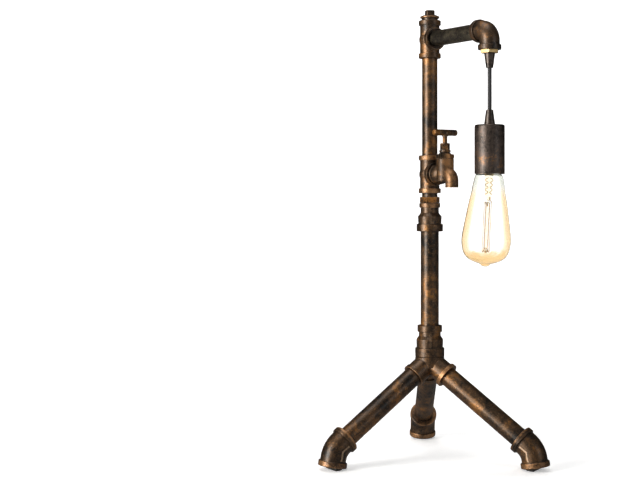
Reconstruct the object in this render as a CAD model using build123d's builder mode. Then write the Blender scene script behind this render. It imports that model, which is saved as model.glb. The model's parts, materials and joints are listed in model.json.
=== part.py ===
"""Industrial pipe table lamp: a tripod of pipe legs, a pole with a tap for its switch,
and a bulb hung from an arm. Millimetres, +Z up, feet on Z = 0, back leg towards +Y.
The origin is the middle of the lamp's own box at floor level; the pole stands at POLE_Y.
"""

import os
from math import cos, pi, radians, sin, sqrt, tan

from build123d import *

# Fits
THREAD_GAP = 0.05           # between a pipe end and the socket that it is screwed into
RUNNING_GAP = 0.08          # between a turning shaft and its bore
FACE_GAP = 0.1              # between two faces that turn on each other
CORD_GAP = 0.15             # between a cord and the gland it passes through
ASSEMBLY_GAP = 0.3          # round loosely placed pieces

# Pipes
PIPE_RADIUS = 10.65         # upper pole, arm and swivel nipple
PIPE_WALL = 2.65
LOWER_PIPE_RADIUS = 12.5
LOWER_PIPE_WALL = 2.6
LEG_PIPE_RADIUS = 13.35
LEG_PIPE_WALL = 2.65
HUB_NIPPLE_RADIUS = 16.7
HUB_NIPPLE_WALL = 3.2

# Small pipe fittings
BAND_RADIUS = 15.2          # the rolled band round each mouth
BAND_LENGTH = 6.7
FITTING_RADIUS = 13.4
FITTING_EDGE = 0.9
SOCKET_DEPTH = 12.0
BRANCH_SOCKET_DEPTH = 5.5
BRANCH_BAND_RADIUS = 16.0
BRANCH_REACH = 15.0         # pole axis to the face of a tee's branch
BRANCH_CUP_RADIUS = 14.1    # of the shallow cup round the thread of a branch
BRANCH_CUP_DEPTH = 2.2
FLOW_RADIUS = 8.6           # way through a fitting
TEE_LENGTH = 52.0
TEE_BULGE = 1.1             # swelling of a tee's body at its branch
NUT_CHAMFER = 1.2

# Tripod
HUB_HEIGHT = 134.4          # where the leg axes meet the pole axis
LEG_SLOPE = 35.5            # below level, degrees
LEG_TURNS = {"left": 210.0, "right": 330.0, "rear": 90.0}
HUB_ARM_LENGTH = 33.5       # hub centre to the mouth of a leg socket
HUB_WALL = 1.9
HUB_LIPS = {"left": 1.2, "right": 2.6, "rear": 1.8}    # how far each socket's band stands out
HUB_BAND_LENGTH = 5.5
HUB_EDGE = 0.5
HUB_NECK_RADIUS = 20.1
HUB_NECK_HEIGHT = 6.0       # hub centre to the top of its neck
HUB_SKIRT = 8.0             # hub centre to the underside of its neck
HUB_CORE_RADIUS = 17.0
HUB_SOCKET_DEPTH = 12.0
LEG_INSET = 18.0            # hub centre to the inner end of a leg pipe

# Foot elbows
FOOT_TURN = 45.0
FOOT_REACH = 23.0           # elbow corner to either mouth
FOOT_BODY_RADIUS = 17.2
FOOT_BAND_RADIUS = 19.3
FOOT_BAND_LENGTH = 7.3
FOOT_BEND = 30.0            # bend radius of its centreline
FOOT_EDGE = 1.2
FOOT_RIB_WIDTH = 2.0
FOOT_RIB_RISE = 0.9
FOOT_RIB_OFFSET = 2.5       # towards the inside of the bend
FOOT_RIB_LENGTH = 13.0
FOOT_PLUG_DEPTH = 8.0
FOOT_HEEL_START = 1.5       # the heel fills the mouth's inner side, up to this short of its middle
RIM_LIFT = 0.6              # how far the foot elbows' rims stay above the table

# Reducing couplings
LOWER_REDUCER = {
    "length": 43.1, "foot": 20.1, "foot_length": 12.1, "bell_low": 18.1, "bell_high": 18.3,
    "bell_length": 11.7, "taper_length": 4.8, "neck": 15.0, "collar": 16.9, "collar_length": 9.0,
}
UPPER_REDUCER = {
    "length": 39.1, "foot": 18.1, "foot_length": 10.3, "bell_low": 15.8, "bell_high": 16.4,
    "bell_length": 10.2, "taper_length": 4.9, "neck": 12.5, "collar": 14.4, "collar_length": 6.5,
}
COUPLING_EDGE = 1.5
SEAM_WIDTH = 1.8
SEAM_RISE = 0.7

# Pole
LOWER_POLE_SHOWING = 129.3
SWIVEL_DEPTH = 13.4         # how deep the nipple turns in the upper reducer
LOCK_NUT_FLATS = 24.2
LOCK_NUT_HEIGHT = 8.3
LOCK_NUT_TURN = 8.0
NIPPLE_SHOWING = 5.1
UPPER_POLE_SHOWING = 133.9

# Top plug
PLUG_NECK_RADIUS = 11.1
PLUG_NECK_HEIGHT = 3.2
PLUG_FLANGE_RADIUS = 13.3
PLUG_FLANGE_HEIGHT = 2.4
PLUG_FLANGE_EDGE = 1.0
PLUG_CONE_RADIUS = 8.6
PLUG_CONE_HEIGHT = 2.0
PLUG_HEAD_WIDTH = 11.4
PLUG_HEAD_CORNER = 1.5
PLUG_HEAD_TURN = 12.0
PLUG_HEAD_HEIGHT = 6.6
PLUG_HEAD_EDGE = 0.8

# Arm
ARM_TURN = -58.0            # direction of the arm and the tap, degrees from +X
ARM_REACH = 131.4           # pole axis to the axis of the hanging cord
ELBOW_REACH = 24.5
ELBOW_DROP = 26.3
ELBOW_BODY_RADIUS = 13.2
ELBOW_BEND = 15.0
ELBOW_SOCKET_DEPTH = 10.0
BUSHING_FLATS = 21.6
BUSHING_HEIGHT = 4.2
BUSHING_TURN = 18.0
BUSHING_SPIGOT = 9.5
CABLE_BEND = 18.0

# Hanging cord and its two glands
CORD_RADIUS = 2.7
CORD_SHOWING = 54.3
CORD_END_GAP = 1.3          # inside each gland, so that the cord can tip in its mouth
GLAND_SMALL_RADIUS = 4.6
GLAND_LARGE_RADIUS = 7.2
GLAND_LENGTH = 19.2
GLAND_STEM_RADIUS = 4.9
GLAND_STEM_LENGTH = 11.0
GLAND_FLARE = 0.6
GLAND_EDGE = 0.6

# Lampholder and its cover
COVER_RADIUS = 19.5
COVER_LENGTH = 64.0
COVER_WALL = 1.6
COVER_EDGE = 2.6
GLAND_NUT_FLATS = 14.0
GLAND_NUT_HEIGHT = 3.5
HOLDER_RADIUS = 17.2
HOLDER_RECESS = 2.6         # cover's rim to the holder's lower edge
HOLDER_EDGE = 0.8
HOLDER_CEILING = 5.0
HOLDER_RIM_HEIGHT = 3.0
HOLDER_CHAMBER_RADIUS = 10.8
HOLDER_CAP_TOP = 4.0
HOLDER_SHELL_WALL = 0.6
HOLDER_SHELL_LENGTH = 21.0
HOLDER_SCREW_REACH = 13.9
HOLDER_SCREW_RADIUS = 1.5
HOLDER_SCREW_GRIP = 7.0
HOLDER_SCREW_HEAD_RADIUS = 2.4
HOLDER_SCREW_HEAD = 2.0
CONTACT_LEAF = 1.0
CONTACT_LEAF_RADIUS = 6.0
CONTACT_GAP = 0.3
RIVET_RADIUS = 1.5
TERMINAL_REACH = 6.5
TERMINAL_RADIUS = 1.6
TERMINAL_HEAD_RADIUS = 2.8
TERMINAL_HEAD = 1.8
TERMINAL_GRIP = 3.0
SHEATH_SHOWING = 3.0
LEAD_RADIUS = 1.1
LEAD_SPREAD = 1.4           # cord's middle to the middle of either lead
LEAD_RISE = 2.5
LEAD_BEND = 2.6

# Bulb
BULB_RADIUS = 31.9
BULB_DROP = 84.0            # cover's rim to the centre of the round end
BULB_TAPER = 10.2           # half angle of its cone, degrees
BULB_SHOULDER_DROP = 6.2    # cover's rim to the shoulder below the neck
BULB_NECK_RADIUS = 14.6
BULB_NECK_INSET = 5.0       # cap's top to the end of the neck inside it
BULB_GLASS = 1.0
BULB_PIP_RADIUS = 5.6
BULB_PIP_LENGTH = 3.6
BULB_PIP_EDGE = 2.5
BULB_LEAN = 2.6             # degrees off plumb
BULB_LEAN_TURN = 176.0      # direction that the round end leans towards
CAP_RADIUS = 13.15
CAP_PLAY = 0.68             # thread play, which lets the bulb sit crooked
CAP_WALL = 0.5
CAP_LENGTH = 19.0
CAP_START = 2.0             # cover's rim to the cap's lower edge
CAP_EDGE = 1.0
CAP_CONE = 2.5
INSULATOR_RADIUS = 9.5
CONTACT_RADIUS = 4.8
CONTACT_HEIGHT = 1.2
STEM_RADIUS = 4.6
STEM_DROP = 34.0            # cap's lower edge to the stem's end
STEM_FLARE = 3.0
STEM_ROD_RADIUS = 1.2
CAGE_DROP = 5.0             # stem's end to the filament's upper turns
CAGE_LENGTH = 62.0
CAGE_RADIUS = 4.6
FILAMENT_LOOPS = 3
FILAMENT_RADIUS = 0.35
FILAMENT_HOOK = 1.5
LEAD_IN_REACH = 2.4         # bulb's axis to each wire where it leaves the stem
WIRE_RADIUS = 0.45

# Tap
SPINDLE_REACH = 35.0        # pole axis to the tap's spindle
GLOBE_RADIUS = 14.2
GLOBE_REACH = 23.5
TAP_FLANGE_RADIUS = 13.2
TAP_FLANGE_LENGTH = 2.4
TAP_EDGE = 1.0
TAP_INLET_BORE = 6.5
CHAMBER_RADIUS = 12.1
CHAMBER_BORE = 9.7
CHAMBER_WALL = 2.0
CHAMBER_FLOOR = 8.0         # tap centre down to the floor of the switch chamber
CHAMBER_TOP = 20.8          # tap centre up to the bonnet's seat
SPOUT_REACH = 50.4
SPOUT_RADIUS = 8.9
SPOUT_WALL = 1.8
SPOUT_BEND = 9.5
SPOUT_DROP = 18.4           # tap centre to the spout's mouth
SPOUT_HOLLOW = 7.0
BONNET_FLATS = 21.6
BONNET_TURN = -6.0
BONNET_HEIGHT = 6.1
BONNET_SPIGOT = 4.0
BONNET_CONE_RADIUS = 9.2
BONNET_CONE_HEIGHT = 2.4
BONNET_NECK_RADIUS = 6.4
BONNET_RING_RADIUS = 7.7
BONNET_RING_HEIGHT = 3.4
BONNET_STEM_RADIUS = 4.7
BONNET_STEM_HEIGHT = 3.5
PACKING_NUT_FLATS = 11.6
PACKING_NUT_TURN = -6.0
PACKING_NUT_HEIGHT = 9.1
PACKING_LIP_RADIUS = 6.5
PACKING_LIP_HEIGHT = 1.4
SEAL_HEIGHT = 2.5
SPINDLE_RADIUS = 3.2
HANDLE_RISE = 10.1          # packing nut's top to the underside of the bar
HANDLE_BAR_RADIUS = 4.3
HANDLE_LENGTH = 38.5
HANDLE_EDGE = 2.0
HANDLE_KNOB_LENGTH = 9.0
HANDLE_GROOVE = 0.8
HANDLE_HUB_RADIUS = 4.2
HANDLE_HUB_DROP = 0.8
HANDLE_BORE_DEPTH = 5.5
HANDLE_PIN_RADIUS = 0.9
HANDLE_PIN_LENGTH = 7.6
HANDLE_PIN_INSET = 2.2      # spindle's top to the pin
SWITCH_RADIUS = 9.4
SWITCH_HEIGHT = 17.0
SWITCH_FLAT = 0.8
SWITCH_BUSH_RADIUS = 5.0
SWITCH_BUSH_DROP = 1.0      # bonnet's seat down to the switch bush's end
SWITCH_SHAFT_DEPTH = 5.0
SWITCH_PIN_RADIUS = 1.0
SWITCH_PIN_REACH = 1.3
TERMINAL_LENGTH = 2.2

# Inlet of the mains lead
INLET_RADIUS = 3.2
GROMMET_NECK_RADIUS = 5.0
GROMMET_FLANGE_RADIUS = 7.0
GROMMET_FLANGE = 1.6


# ---- Places worked out from the sizes above ----

def heading(turn, slope=0.0):
    """Unit vector towards a compass turn from +X and a slope below level, both in degrees."""
    level = cos(radians(slope))
    return Vector(level * cos(radians(turn)), level * sin(radians(turn)), -sin(radians(slope)))


MOUTH_SLOPE = LEG_SLOPE + FOOT_TURN
FOOT_CORNER_HEIGHT = (RIM_LIFT + FOOT_REACH * sin(radians(MOUTH_SLOPE))
                      + FOOT_BAND_RADIUS * cos(radians(MOUTH_SLOPE)))
LEG_RUN = (HUB_HEIGHT - FOOT_CORNER_HEIGHT) / sin(radians(LEG_SLOPE))   # hub centre to foot corner
FOOT_OUTREACH = (LEG_RUN * cos(radians(LEG_SLOPE)) + FOOT_REACH * cos(radians(MOUTH_SLOPE))
                 + FOOT_BAND_RADIUS * sin(radians(MOUTH_SLOPE)))

# The lamp's box runs from the bulb's front to the back foot's rim; the pole is set off its middle.
BULB_FRONT = -ARM_REACH * sin(radians(ARM_TURN)) + BULB_RADIUS
POLE_Y = (BULB_FRONT - FOOT_OUTREACH) / 2

LOWER_REDUCER_BASE = HUB_HEIGHT + HUB_NECK_HEIGHT + FACE_GAP
LOWER_POLE_BASE = LOWER_REDUCER_BASE + LOWER_REDUCER["length"]
UPPER_REDUCER_BASE = LOWER_POLE_BASE + LOWER_POLE_SHOWING
SWIVEL_FACE = UPPER_REDUCER_BASE + UPPER_REDUCER["length"]
LOCK_NUT_BASE = SWIVEL_FACE + FACE_GAP
TAP_TEE_BASE = LOCK_NUT_BASE + LOCK_NUT_HEIGHT + NIPPLE_SHOWING
TAP_HEIGHT = TAP_TEE_BASE + TEE_LENGTH / 2
UPPER_POLE_BASE = TAP_TEE_BASE + TEE_LENGTH
ARM_TEE_BASE = UPPER_POLE_BASE + UPPER_POLE_SHOWING
ARM_HEIGHT = ARM_TEE_BASE + TEE_LENGTH / 2
PLUG_BASE = ARM_TEE_BASE + TEE_LENGTH

DROP_MOUTH = ARM_HEIGHT - ELBOW_DROP
UPPER_GLAND_TOP = DROP_MOUTH - BUSHING_HEIGHT
CORD_TOP = UPPER_GLAND_TOP - GLAND_LENGTH
CORD_FOOT = CORD_TOP - CORD_SHOWING
COVER_TOP = CORD_FOOT - GLAND_LENGTH
COVER_RIM = COVER_TOP - COVER_LENGTH

ahead = heading(ARM_TURN)
tangent = heading(ARM_TURN + 90)
pole_foot = Vector(0, POLE_Y, 0)
drop_foot = pole_foot + ahead * ARM_REACH
spindle_foot = pole_foot + ahead * SPINDLE_REACH


def on_pole(height):
    """Level plane on the pole axis."""
    return Plane(origin=pole_foot + Vector(0, 0, height), x_dir=(1, 0, 0))


def on_drop(height):
    """Level plane on the axis of the hanging cord."""
    return Plane(origin=drop_foot + Vector(0, 0, height), x_dir=ahead)


def on_spindle(height):
    """Level plane on the axis of the tap's spindle, with X along the tap."""
    return Plane(origin=spindle_foot + Vector(0, 0, height), x_dir=ahead)


def along(origin, direction):
    """Plane across a direction, so that its Z runs along it."""
    side = direction.cross(Vector(0, 0, 1)).normalized()
    return Plane(origin=origin, x_dir=side.cross(direction), z_dir=direction)


def elbow_end(corner, direction, other):
    """Plane across one end of an elbow, its Z out of that end and its X towards the bend's inside."""
    inside = other - direction * direction.dot(other)
    return Plane(origin=corner, x_dir=inside, z_dir=direction)


# ---- Shapes that many pieces share ----

def turn(plane, outline, mode=Mode.ADD):
    """Turned solid: a closed outline of (radius, height, rounding) about the plane's Z axis."""
    half = Plane(origin=plane.origin, x_dir=plane.x_dir, z_dir=-plane.y_dir)
    with BuildSketch(half) as section:
        with BuildLine():
            FilletPolyline(*[(radius, height) for radius, height, _ in outline],
                           radius=[rounding for _, _, rounding in outline], close=True)
        make_face()
    revolve(section.sketch, axis=Axis(plane.origin, plane.z_dir), mode=mode)


def ring(plane, outer, inner, low, high, edge=0.0, mode=Mode.ADD):
    """Turned ring or disc between two radii and two heights, its outer edges rounded."""
    turn(plane, [(inner, low, 0), (outer, low, edge), (outer, high, edge), (inner, high, 0)], mode)


def bore(plane, radius, low, high):
    """Round hole along the plane's Z axis."""
    ring(plane, radius, 0, low, high, mode=Mode.SUBTRACT)


def hexagon(plane, flats, low, high, rotation=0.0, chamfer_size=0.0, mode=Mode.ADD):
    """Hexagonal prism by its width across flats, its corners turned off at both ends."""
    with BuildSketch(plane.offset(low)) as section:
        RegularPolygon(flats / 2, 6, major_radius=False, rotation=rotation)
    with BuildPart(mode=Mode.PRIVATE) as prism:
        extrude(section.sketch, amount=high - low)
        if chamfer_size:
            corner = flats / sqrt(3)
            ring(plane, corner, 0, low, high, mode=Mode.INTERSECT)
            turn(plane, [(0, low, 0), (corner - chamfer_size, low, 0),
                         (corner, low + chamfer_size / 2, 0), (corner, high - chamfer_size / 2, 0),
                         (corner - chamfer_size, high, 0), (0, high, 0)], Mode.INTERSECT)
    add(prism.part, mode=mode)


def bend(corner, inward, outward, bend_radius, radius, mode=Mode.ADD):
    """Round bend about a corner, for something that arrives along inward and leaves along outward."""
    turned = inward.get_angle(outward)
    start = corner - inward * (bend_radius * tan(radians(turned) / 2))
    side = (outward - inward * inward.dot(outward)).normalized()
    axis = Axis(start + side * bend_radius, inward.cross(side))
    with BuildSketch(Plane(origin=start, z_dir=inward)) as section:
        Circle(radius)
    revolve(section.sketch, axis=axis, revolution_arc=turned, mode=mode)


def tube(path, radius):
    """Round section carried along a path."""
    with BuildSketch(Plane(origin=path @ 0, z_dir=path % 0)) as section:
        Circle(radius)
    sweep(section.sketch, path=path)


def save(builder, name):
    """Labels a finished piece and writes it to its file."""
    builder.part.label = name
    export_step(builder.part, f"parts/{name}.step")


os.makedirs("parts", exist_ok=True)


# ---- Tripod ----

hub_centre = pole_foot + Vector(0, 0, HUB_HEIGHT)
leg_planes = {side: along(hub_centre, heading(at, LEG_SLOPE)) for side, at in LEG_TURNS.items()}
leg_socket_radius = LEG_PIPE_RADIUS + THREAD_GAP
leg_flow_radius = LEG_PIPE_RADIUS - LEG_PIPE_WALL
hub_sleeve_radius = leg_socket_radius + HUB_WALL
hub_top = HUB_HEIGHT + HUB_NECK_HEIGHT
hub_nipple_base = hub_top - HUB_SOCKET_DEPTH
hub_nipple_bore = HUB_NIPPLE_RADIUS + THREAD_GAP

# On the pole axis the three leg sleeves leave a wall between these two heights.
hub_underside = HUB_HEIGHT - hub_sleeve_radius / cos(radians(LEG_SLOPE))
hub_inner_floor = HUB_HEIGHT - leg_flow_radius / cos(radians(LEG_SLOPE))

with BuildPart() as leg_hub:
    ring(on_pole(0), HUB_NECK_RADIUS, 0, HUB_HEIGHT - HUB_SKIRT, hub_top, FITTING_EDGE)
    with Locations(hub_centre):
        Sphere(HUB_CORE_RADIUS)
    for side, plane in leg_planes.items():
        lip_start = HUB_ARM_LENGTH - HUB_BAND_LENGTH
        ring(plane, hub_sleeve_radius, 0, 0, HUB_ARM_LENGTH, HUB_EDGE)
        ring(plane, hub_sleeve_radius + HUB_LIPS[side], 0, lip_start, HUB_ARM_LENGTH, HUB_EDGE)
    ring(on_pole(0), 2 * HUB_NECK_RADIUS, 0, hub_top, hub_top + HUB_CORE_RADIUS, mode=Mode.SUBTRACT)
    for plane in leg_planes.values():
        bore(plane, leg_socket_radius, LEG_INSET, HUB_ARM_LENGTH)
        bore(plane, leg_flow_radius, 0, LEG_INSET)
    bore(on_pole(0), hub_nipple_bore, hub_nipple_base, hub_top)
    bore(on_pole(0), leg_flow_radius, HUB_HEIGHT, hub_nipple_base)
    bore(on_pole(0), GROMMET_NECK_RADIUS, hub_underside - GROMMET_FLANGE, HUB_HEIGHT)
    bore(on_pole(0), GROMMET_FLANGE_RADIUS + ASSEMBLY_GAP, hub_underside - HUB_CORE_RADIUS, hub_underside)
save(leg_hub, "leg_hub")

with BuildPart() as hub_grommet:
    turn(on_pole(0), [
        (INLET_RADIUS, hub_underside - GROMMET_FLANGE, 0.4),
        (GROMMET_FLANGE_RADIUS, hub_underside - GROMMET_FLANGE, 0.5),
        (GROMMET_FLANGE_RADIUS, hub_underside, 0),
        (GROMMET_NECK_RADIUS - THREAD_GAP, hub_underside, 0),
        (GROMMET_NECK_RADIUS - THREAD_GAP, hub_inner_floor, 0.3),
        (INLET_RADIUS, hub_inner_floor, 0.3),
    ])
save(hub_grommet, "hub_grommet")

with BuildPart() as hub_nipple:
    ring(on_pole(0), HUB_NIPPLE_RADIUS, HUB_NIPPLE_RADIUS - HUB_NIPPLE_WALL,
         hub_nipple_base, LOWER_REDUCER_BASE + SOCKET_DEPTH)
save(hub_nipple, "hub_nipple")

for side, plane in leg_planes.items():
    inward = plane.z_dir
    outward = heading(LEG_TURNS[side], MOUTH_SLOPE)
    corner = hub_centre + inward * LEG_RUN
    upper = elbow_end(corner, -inward, outward)
    mouth = elbow_end(corner, outward, -inward)

    with BuildPart() as leg_pipe:
        ring(plane, LEG_PIPE_RADIUS, LEG_PIPE_RADIUS - LEG_PIPE_WALL,
             LEG_INSET, LEG_RUN - FOOT_REACH + SOCKET_DEPTH)
    save(leg_pipe, f"leg_pipe_{side}")

    straight = FOOT_BEND * tan(radians(FOOT_TURN / 2))
    with BuildPart() as foot_elbow:
        bend(corner, inward, outward, FOOT_BEND, FOOT_BODY_RADIUS)
        for end in (upper, mouth):
            ring(end, FOOT_BODY_RADIUS, 0, straight, FOOT_REACH - FITTING_EDGE)
            ring(end, FOOT_BAND_RADIUS, 0, FOOT_REACH - FOOT_BAND_LENGTH, FOOT_REACH, FOOT_EDGE)
            with BuildSketch(end) as ribs:
                with Locations((FOOT_RIB_OFFSET, FOOT_BODY_RADIUS), (FOOT_RIB_OFFSET, -FOOT_BODY_RADIUS)):
                    Rectangle(FOOT_RIB_WIDTH, 2 * FOOT_RIB_RISE)
            extrude(ribs.sketch, amount=FOOT_RIB_LENGTH)
        bend(corner, inward, outward, FOOT_BEND, leg_flow_radius, Mode.SUBTRACT)
        for end in (upper, mouth):
            bore(end, leg_flow_radius, straight, FOOT_REACH)
            bore(end, leg_socket_radius, FOOT_REACH - SOCKET_DEPTH, FOOT_REACH)
    save(foot_elbow, f"foot_elbow_{side}")

    # The plug fills the mouth, and its inner half goes down to the table as a level heel.
    with BuildPart() as foot_plug:
        ring(mouth, LEG_PIPE_RADIUS, 0, FOOT_REACH - FOOT_PLUG_DEPTH, FOOT_REACH)
        with BuildSketch(mouth.offset(FOOT_REACH)) as heel:
            Circle(LEG_PIPE_RADIUS)
            with Locations((-FOOT_HEEL_START, 0)):
                Rectangle(2 * LEG_PIPE_RADIUS, 2 * LEG_PIPE_RADIUS, align=(Align.MAX, Align.CENTER),
                          mode=Mode.SUBTRACT)
        extrude(heel.sketch, amount=FOOT_BAND_RADIUS)
        split(bisect_by=Plane.XY, keep=Keep.TOP)
    save(foot_plug, f"foot_plug_{side}")


# ---- Lower pole ----

def coupling(base, size, lower_bore, upper_bore, upper_depth, flow):
    """Reducing coupling with a wide foot, a bell and a narrow neck, and a seam down two sides."""
    top = base + size["length"]
    foot_top = base + size["foot_length"]
    bell_top = foot_top + size["bell_length"]
    neck_base = bell_top + size["taper_length"]
    collar_base = top - size["collar_length"]
    turn(on_pole(0), [
        (lower_bore, base, 0),
        (size["foot"], base, FITTING_EDGE),
        (size["foot"], foot_top, FITTING_EDGE),
        (size["bell_low"], foot_top, 0),
        (size["bell_high"], bell_top, COUPLING_EDGE),
        (size["neck"], neck_base, COUPLING_EDGE),
        (size["neck"], collar_base, 0),
        (size["collar"], collar_base, FITTING_EDGE),
        (size["collar"], top, FITTING_EDGE),
        (upper_bore, top, 0),
        (upper_bore, top - upper_depth, 0),
        (flow, top - upper_depth, 0),
        (flow, base + SOCKET_DEPTH, 0),
        (lower_bore, base + SOCKET_DEPTH, 0),
    ])
    with BuildPart(mode=Mode.PRIVATE) as seam:
        turn(on_pole(0), [
            (size["bell_low"] - SEAM_RISE, foot_top, 0),
            (size["bell_low"] + SEAM_RISE, foot_top, 0),
            (size["bell_high"] + SEAM_RISE, bell_top, COUPLING_EDGE),
            (size["neck"] + SEAM_RISE, neck_base, COUPLING_EDGE),
            (size["neck"] + SEAM_RISE, collar_base, 0),
            (size["neck"] - SEAM_RISE, collar_base, 0),
            (size["neck"] - SEAM_RISE, neck_base, 0),
            (size["bell_high"] - SEAM_RISE, bell_top, 0),
        ])
        with Locations(pole_foot + Vector(0, 0, base)):
            Box(SEAM_WIDTH, 3 * size["foot"], 2 * size["length"], mode=Mode.INTERSECT)
    add(seam.part)


lower_pipe_bore = LOWER_PIPE_RADIUS + THREAD_GAP
with BuildPart() as lower_reducer:
    coupling(LOWER_REDUCER_BASE, LOWER_REDUCER, hub_nipple_bore, lower_pipe_bore, SOCKET_DEPTH,
             LOWER_PIPE_RADIUS - LOWER_PIPE_WALL)
save(lower_reducer, "lower_reducer")

with BuildPart() as lower_pole:
    ring(on_pole(0), LOWER_PIPE_RADIUS, LOWER_PIPE_RADIUS - LOWER_PIPE_WALL,
         LOWER_POLE_BASE - SOCKET_DEPTH, UPPER_REDUCER_BASE + SOCKET_DEPTH)
save(lower_pole, "lower_pole")

with BuildPart() as upper_reducer:
    coupling(UPPER_REDUCER_BASE, UPPER_REDUCER, lower_pipe_bore, PIPE_RADIUS + RUNNING_GAP,
             SWIVEL_DEPTH, FLOW_RADIUS)
save(upper_reducer, "upper_reducer")


# ---- Column ----

pipe_bore = PIPE_RADIUS + THREAD_GAP
pipe_inside = PIPE_RADIUS - PIPE_WALL

with BuildPart() as swivel_nipple:
    ring(on_pole(0), PIPE_RADIUS, pipe_inside,
         SWIVEL_FACE - SWIVEL_DEPTH + FACE_GAP, TAP_TEE_BASE + SOCKET_DEPTH)
save(swivel_nipple, "swivel_nipple")

with BuildPart() as lock_nut:
    hexagon(on_pole(0), LOCK_NUT_FLATS, LOCK_NUT_BASE, LOCK_NUT_BASE + LOCK_NUT_HEIGHT,
            LOCK_NUT_TURN, NUT_CHAMFER)
    bore(on_pole(0), pipe_bore, LOCK_NUT_BASE, LOCK_NUT_BASE + LOCK_NUT_HEIGHT)
save(lock_nut, "lock_nut")


def tee(base):
    """Pipe tee on the pole axis, with a short branch ahead."""
    middle = base + TEE_LENGTH / 2
    top = base + TEE_LENGTH
    branch = along(pole_foot + Vector(0, 0, middle), ahead)
    ring(on_pole(0), FITTING_RADIUS, 0, base, top)
    ring(on_pole(0), BAND_RADIUS, 0, base, base + BAND_LENGTH, FITTING_EDGE)
    ring(on_pole(0), BAND_RADIUS, 0, top - BAND_LENGTH, top, FITTING_EDGE)
    with Locations(branch.origin):
        Sphere(FITTING_RADIUS + TEE_BULGE)
    ring(branch, FITTING_RADIUS, 0, 0, BRANCH_REACH - FITTING_EDGE)
    ring(branch, BRANCH_BAND_RADIUS, 0, BRANCH_REACH - BAND_LENGTH, BRANCH_REACH, FITTING_EDGE)
    bore(on_pole(0), FLOW_RADIUS, base, top)
    bore(on_pole(0), pipe_bore, base, base + SOCKET_DEPTH)
    bore(on_pole(0), pipe_bore, top - SOCKET_DEPTH, top)
    bore(branch, FLOW_RADIUS, 0, BRANCH_REACH)
    bore(branch, pipe_bore, BRANCH_REACH - BRANCH_SOCKET_DEPTH, BRANCH_REACH)
    bore(branch, BRANCH_CUP_RADIUS, BRANCH_REACH - BRANCH_CUP_DEPTH, BRANCH_REACH)


with BuildPart() as tap_tee:
    tee(TAP_TEE_BASE)
save(tap_tee, "tap_tee")

with BuildPart() as upper_pole:
    ring(on_pole(0), PIPE_RADIUS, pipe_inside, UPPER_POLE_BASE - SOCKET_DEPTH, ARM_TEE_BASE + SOCKET_DEPTH)
save(upper_pole, "upper_pole")

with BuildPart() as arm_tee:
    tee(ARM_TEE_BASE)
save(arm_tee, "arm_tee")

plug_flange_base = PLUG_BASE + PLUG_NECK_HEIGHT
plug_cone_base = plug_flange_base + PLUG_FLANGE_HEIGHT
plug_head_base = plug_cone_base + PLUG_CONE_HEIGHT
with BuildPart() as top_plug:
    turn(on_pole(0), [
        (0, PLUG_BASE - SOCKET_DEPTH, 0),
        (PIPE_RADIUS, PLUG_BASE - SOCKET_DEPTH, 0.5),
        (PIPE_RADIUS, PLUG_BASE, 0),
        (PLUG_NECK_RADIUS, PLUG_BASE, 0),
        (PLUG_NECK_RADIUS, plug_flange_base, 0),
        (PLUG_FLANGE_RADIUS, plug_flange_base, PLUG_FLANGE_EDGE),
        (PLUG_FLANGE_RADIUS, plug_cone_base, PLUG_FLANGE_EDGE),
        (PLUG_CONE_RADIUS, plug_head_base, 0),
        (0, plug_head_base, 0),
    ])
    with BuildSketch(on_pole(plug_head_base)) as head:
        RectangleRounded(PLUG_HEAD_WIDTH, PLUG_HEAD_WIDTH, PLUG_HEAD_CORNER, rotation=PLUG_HEAD_TURN)
    extrude(head.sketch, amount=PLUG_HEAD_HEIGHT)
    fillet(top_plug.faces().sort_by(Axis.Z)[-1].edges(), PLUG_HEAD_EDGE)
save(top_plug, "top_plug")


# ---- Arm ----

arm_axis = along(pole_foot + Vector(0, 0, ARM_HEIGHT), ahead)
elbow_corner = drop_foot + Vector(0, 0, ARM_HEIGHT)
down = Vector(0, 0, -1)

with BuildPart() as arm_pipe:
    ring(arm_axis, PIPE_RADIUS, pipe_inside,
         BRANCH_REACH - BRANCH_SOCKET_DEPTH, ARM_REACH - ELBOW_REACH + ELBOW_SOCKET_DEPTH)
save(arm_pipe, "arm_pipe")

elbow_ends = (
    (elbow_end(elbow_corner, -ahead, down), ELBOW_REACH),
    (elbow_end(elbow_corner, down, -ahead), ELBOW_DROP),
)
with BuildPart() as drop_elbow:
    bend(elbow_corner, ahead, down, ELBOW_BEND, ELBOW_BODY_RADIUS)
    for end, reach in elbow_ends:
        ring(end, ELBOW_BODY_RADIUS, 0, ELBOW_BEND, reach - FITTING_EDGE)
        ring(end, BAND_RADIUS, 0, reach - BAND_LENGTH, reach, FITTING_EDGE)
    bend(elbow_corner, ahead, down, ELBOW_BEND, FLOW_RADIUS, Mode.SUBTRACT)
    for end, reach in elbow_ends:
        bore(end, FLOW_RADIUS, ELBOW_BEND, reach)
        bore(end, pipe_bore, reach - ELBOW_SOCKET_DEPTH, reach)
save(drop_elbow, "drop_elbow")

stem_bore = GLAND_STEM_RADIUS + THREAD_GAP
with BuildPart() as brass_bushing:
    hexagon(on_drop(0), BUSHING_FLATS, UPPER_GLAND_TOP, DROP_MOUTH, BUSHING_TURN, NUT_CHAMFER)
    ring(on_drop(0), PIPE_RADIUS, 0, DROP_MOUTH, DROP_MOUTH + BUSHING_SPIGOT)
    bore(on_drop(0), stem_bore, UPPER_GLAND_TOP, DROP_MOUTH + BUSHING_SPIGOT)
save(brass_bushing, "brass_bushing")


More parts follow.
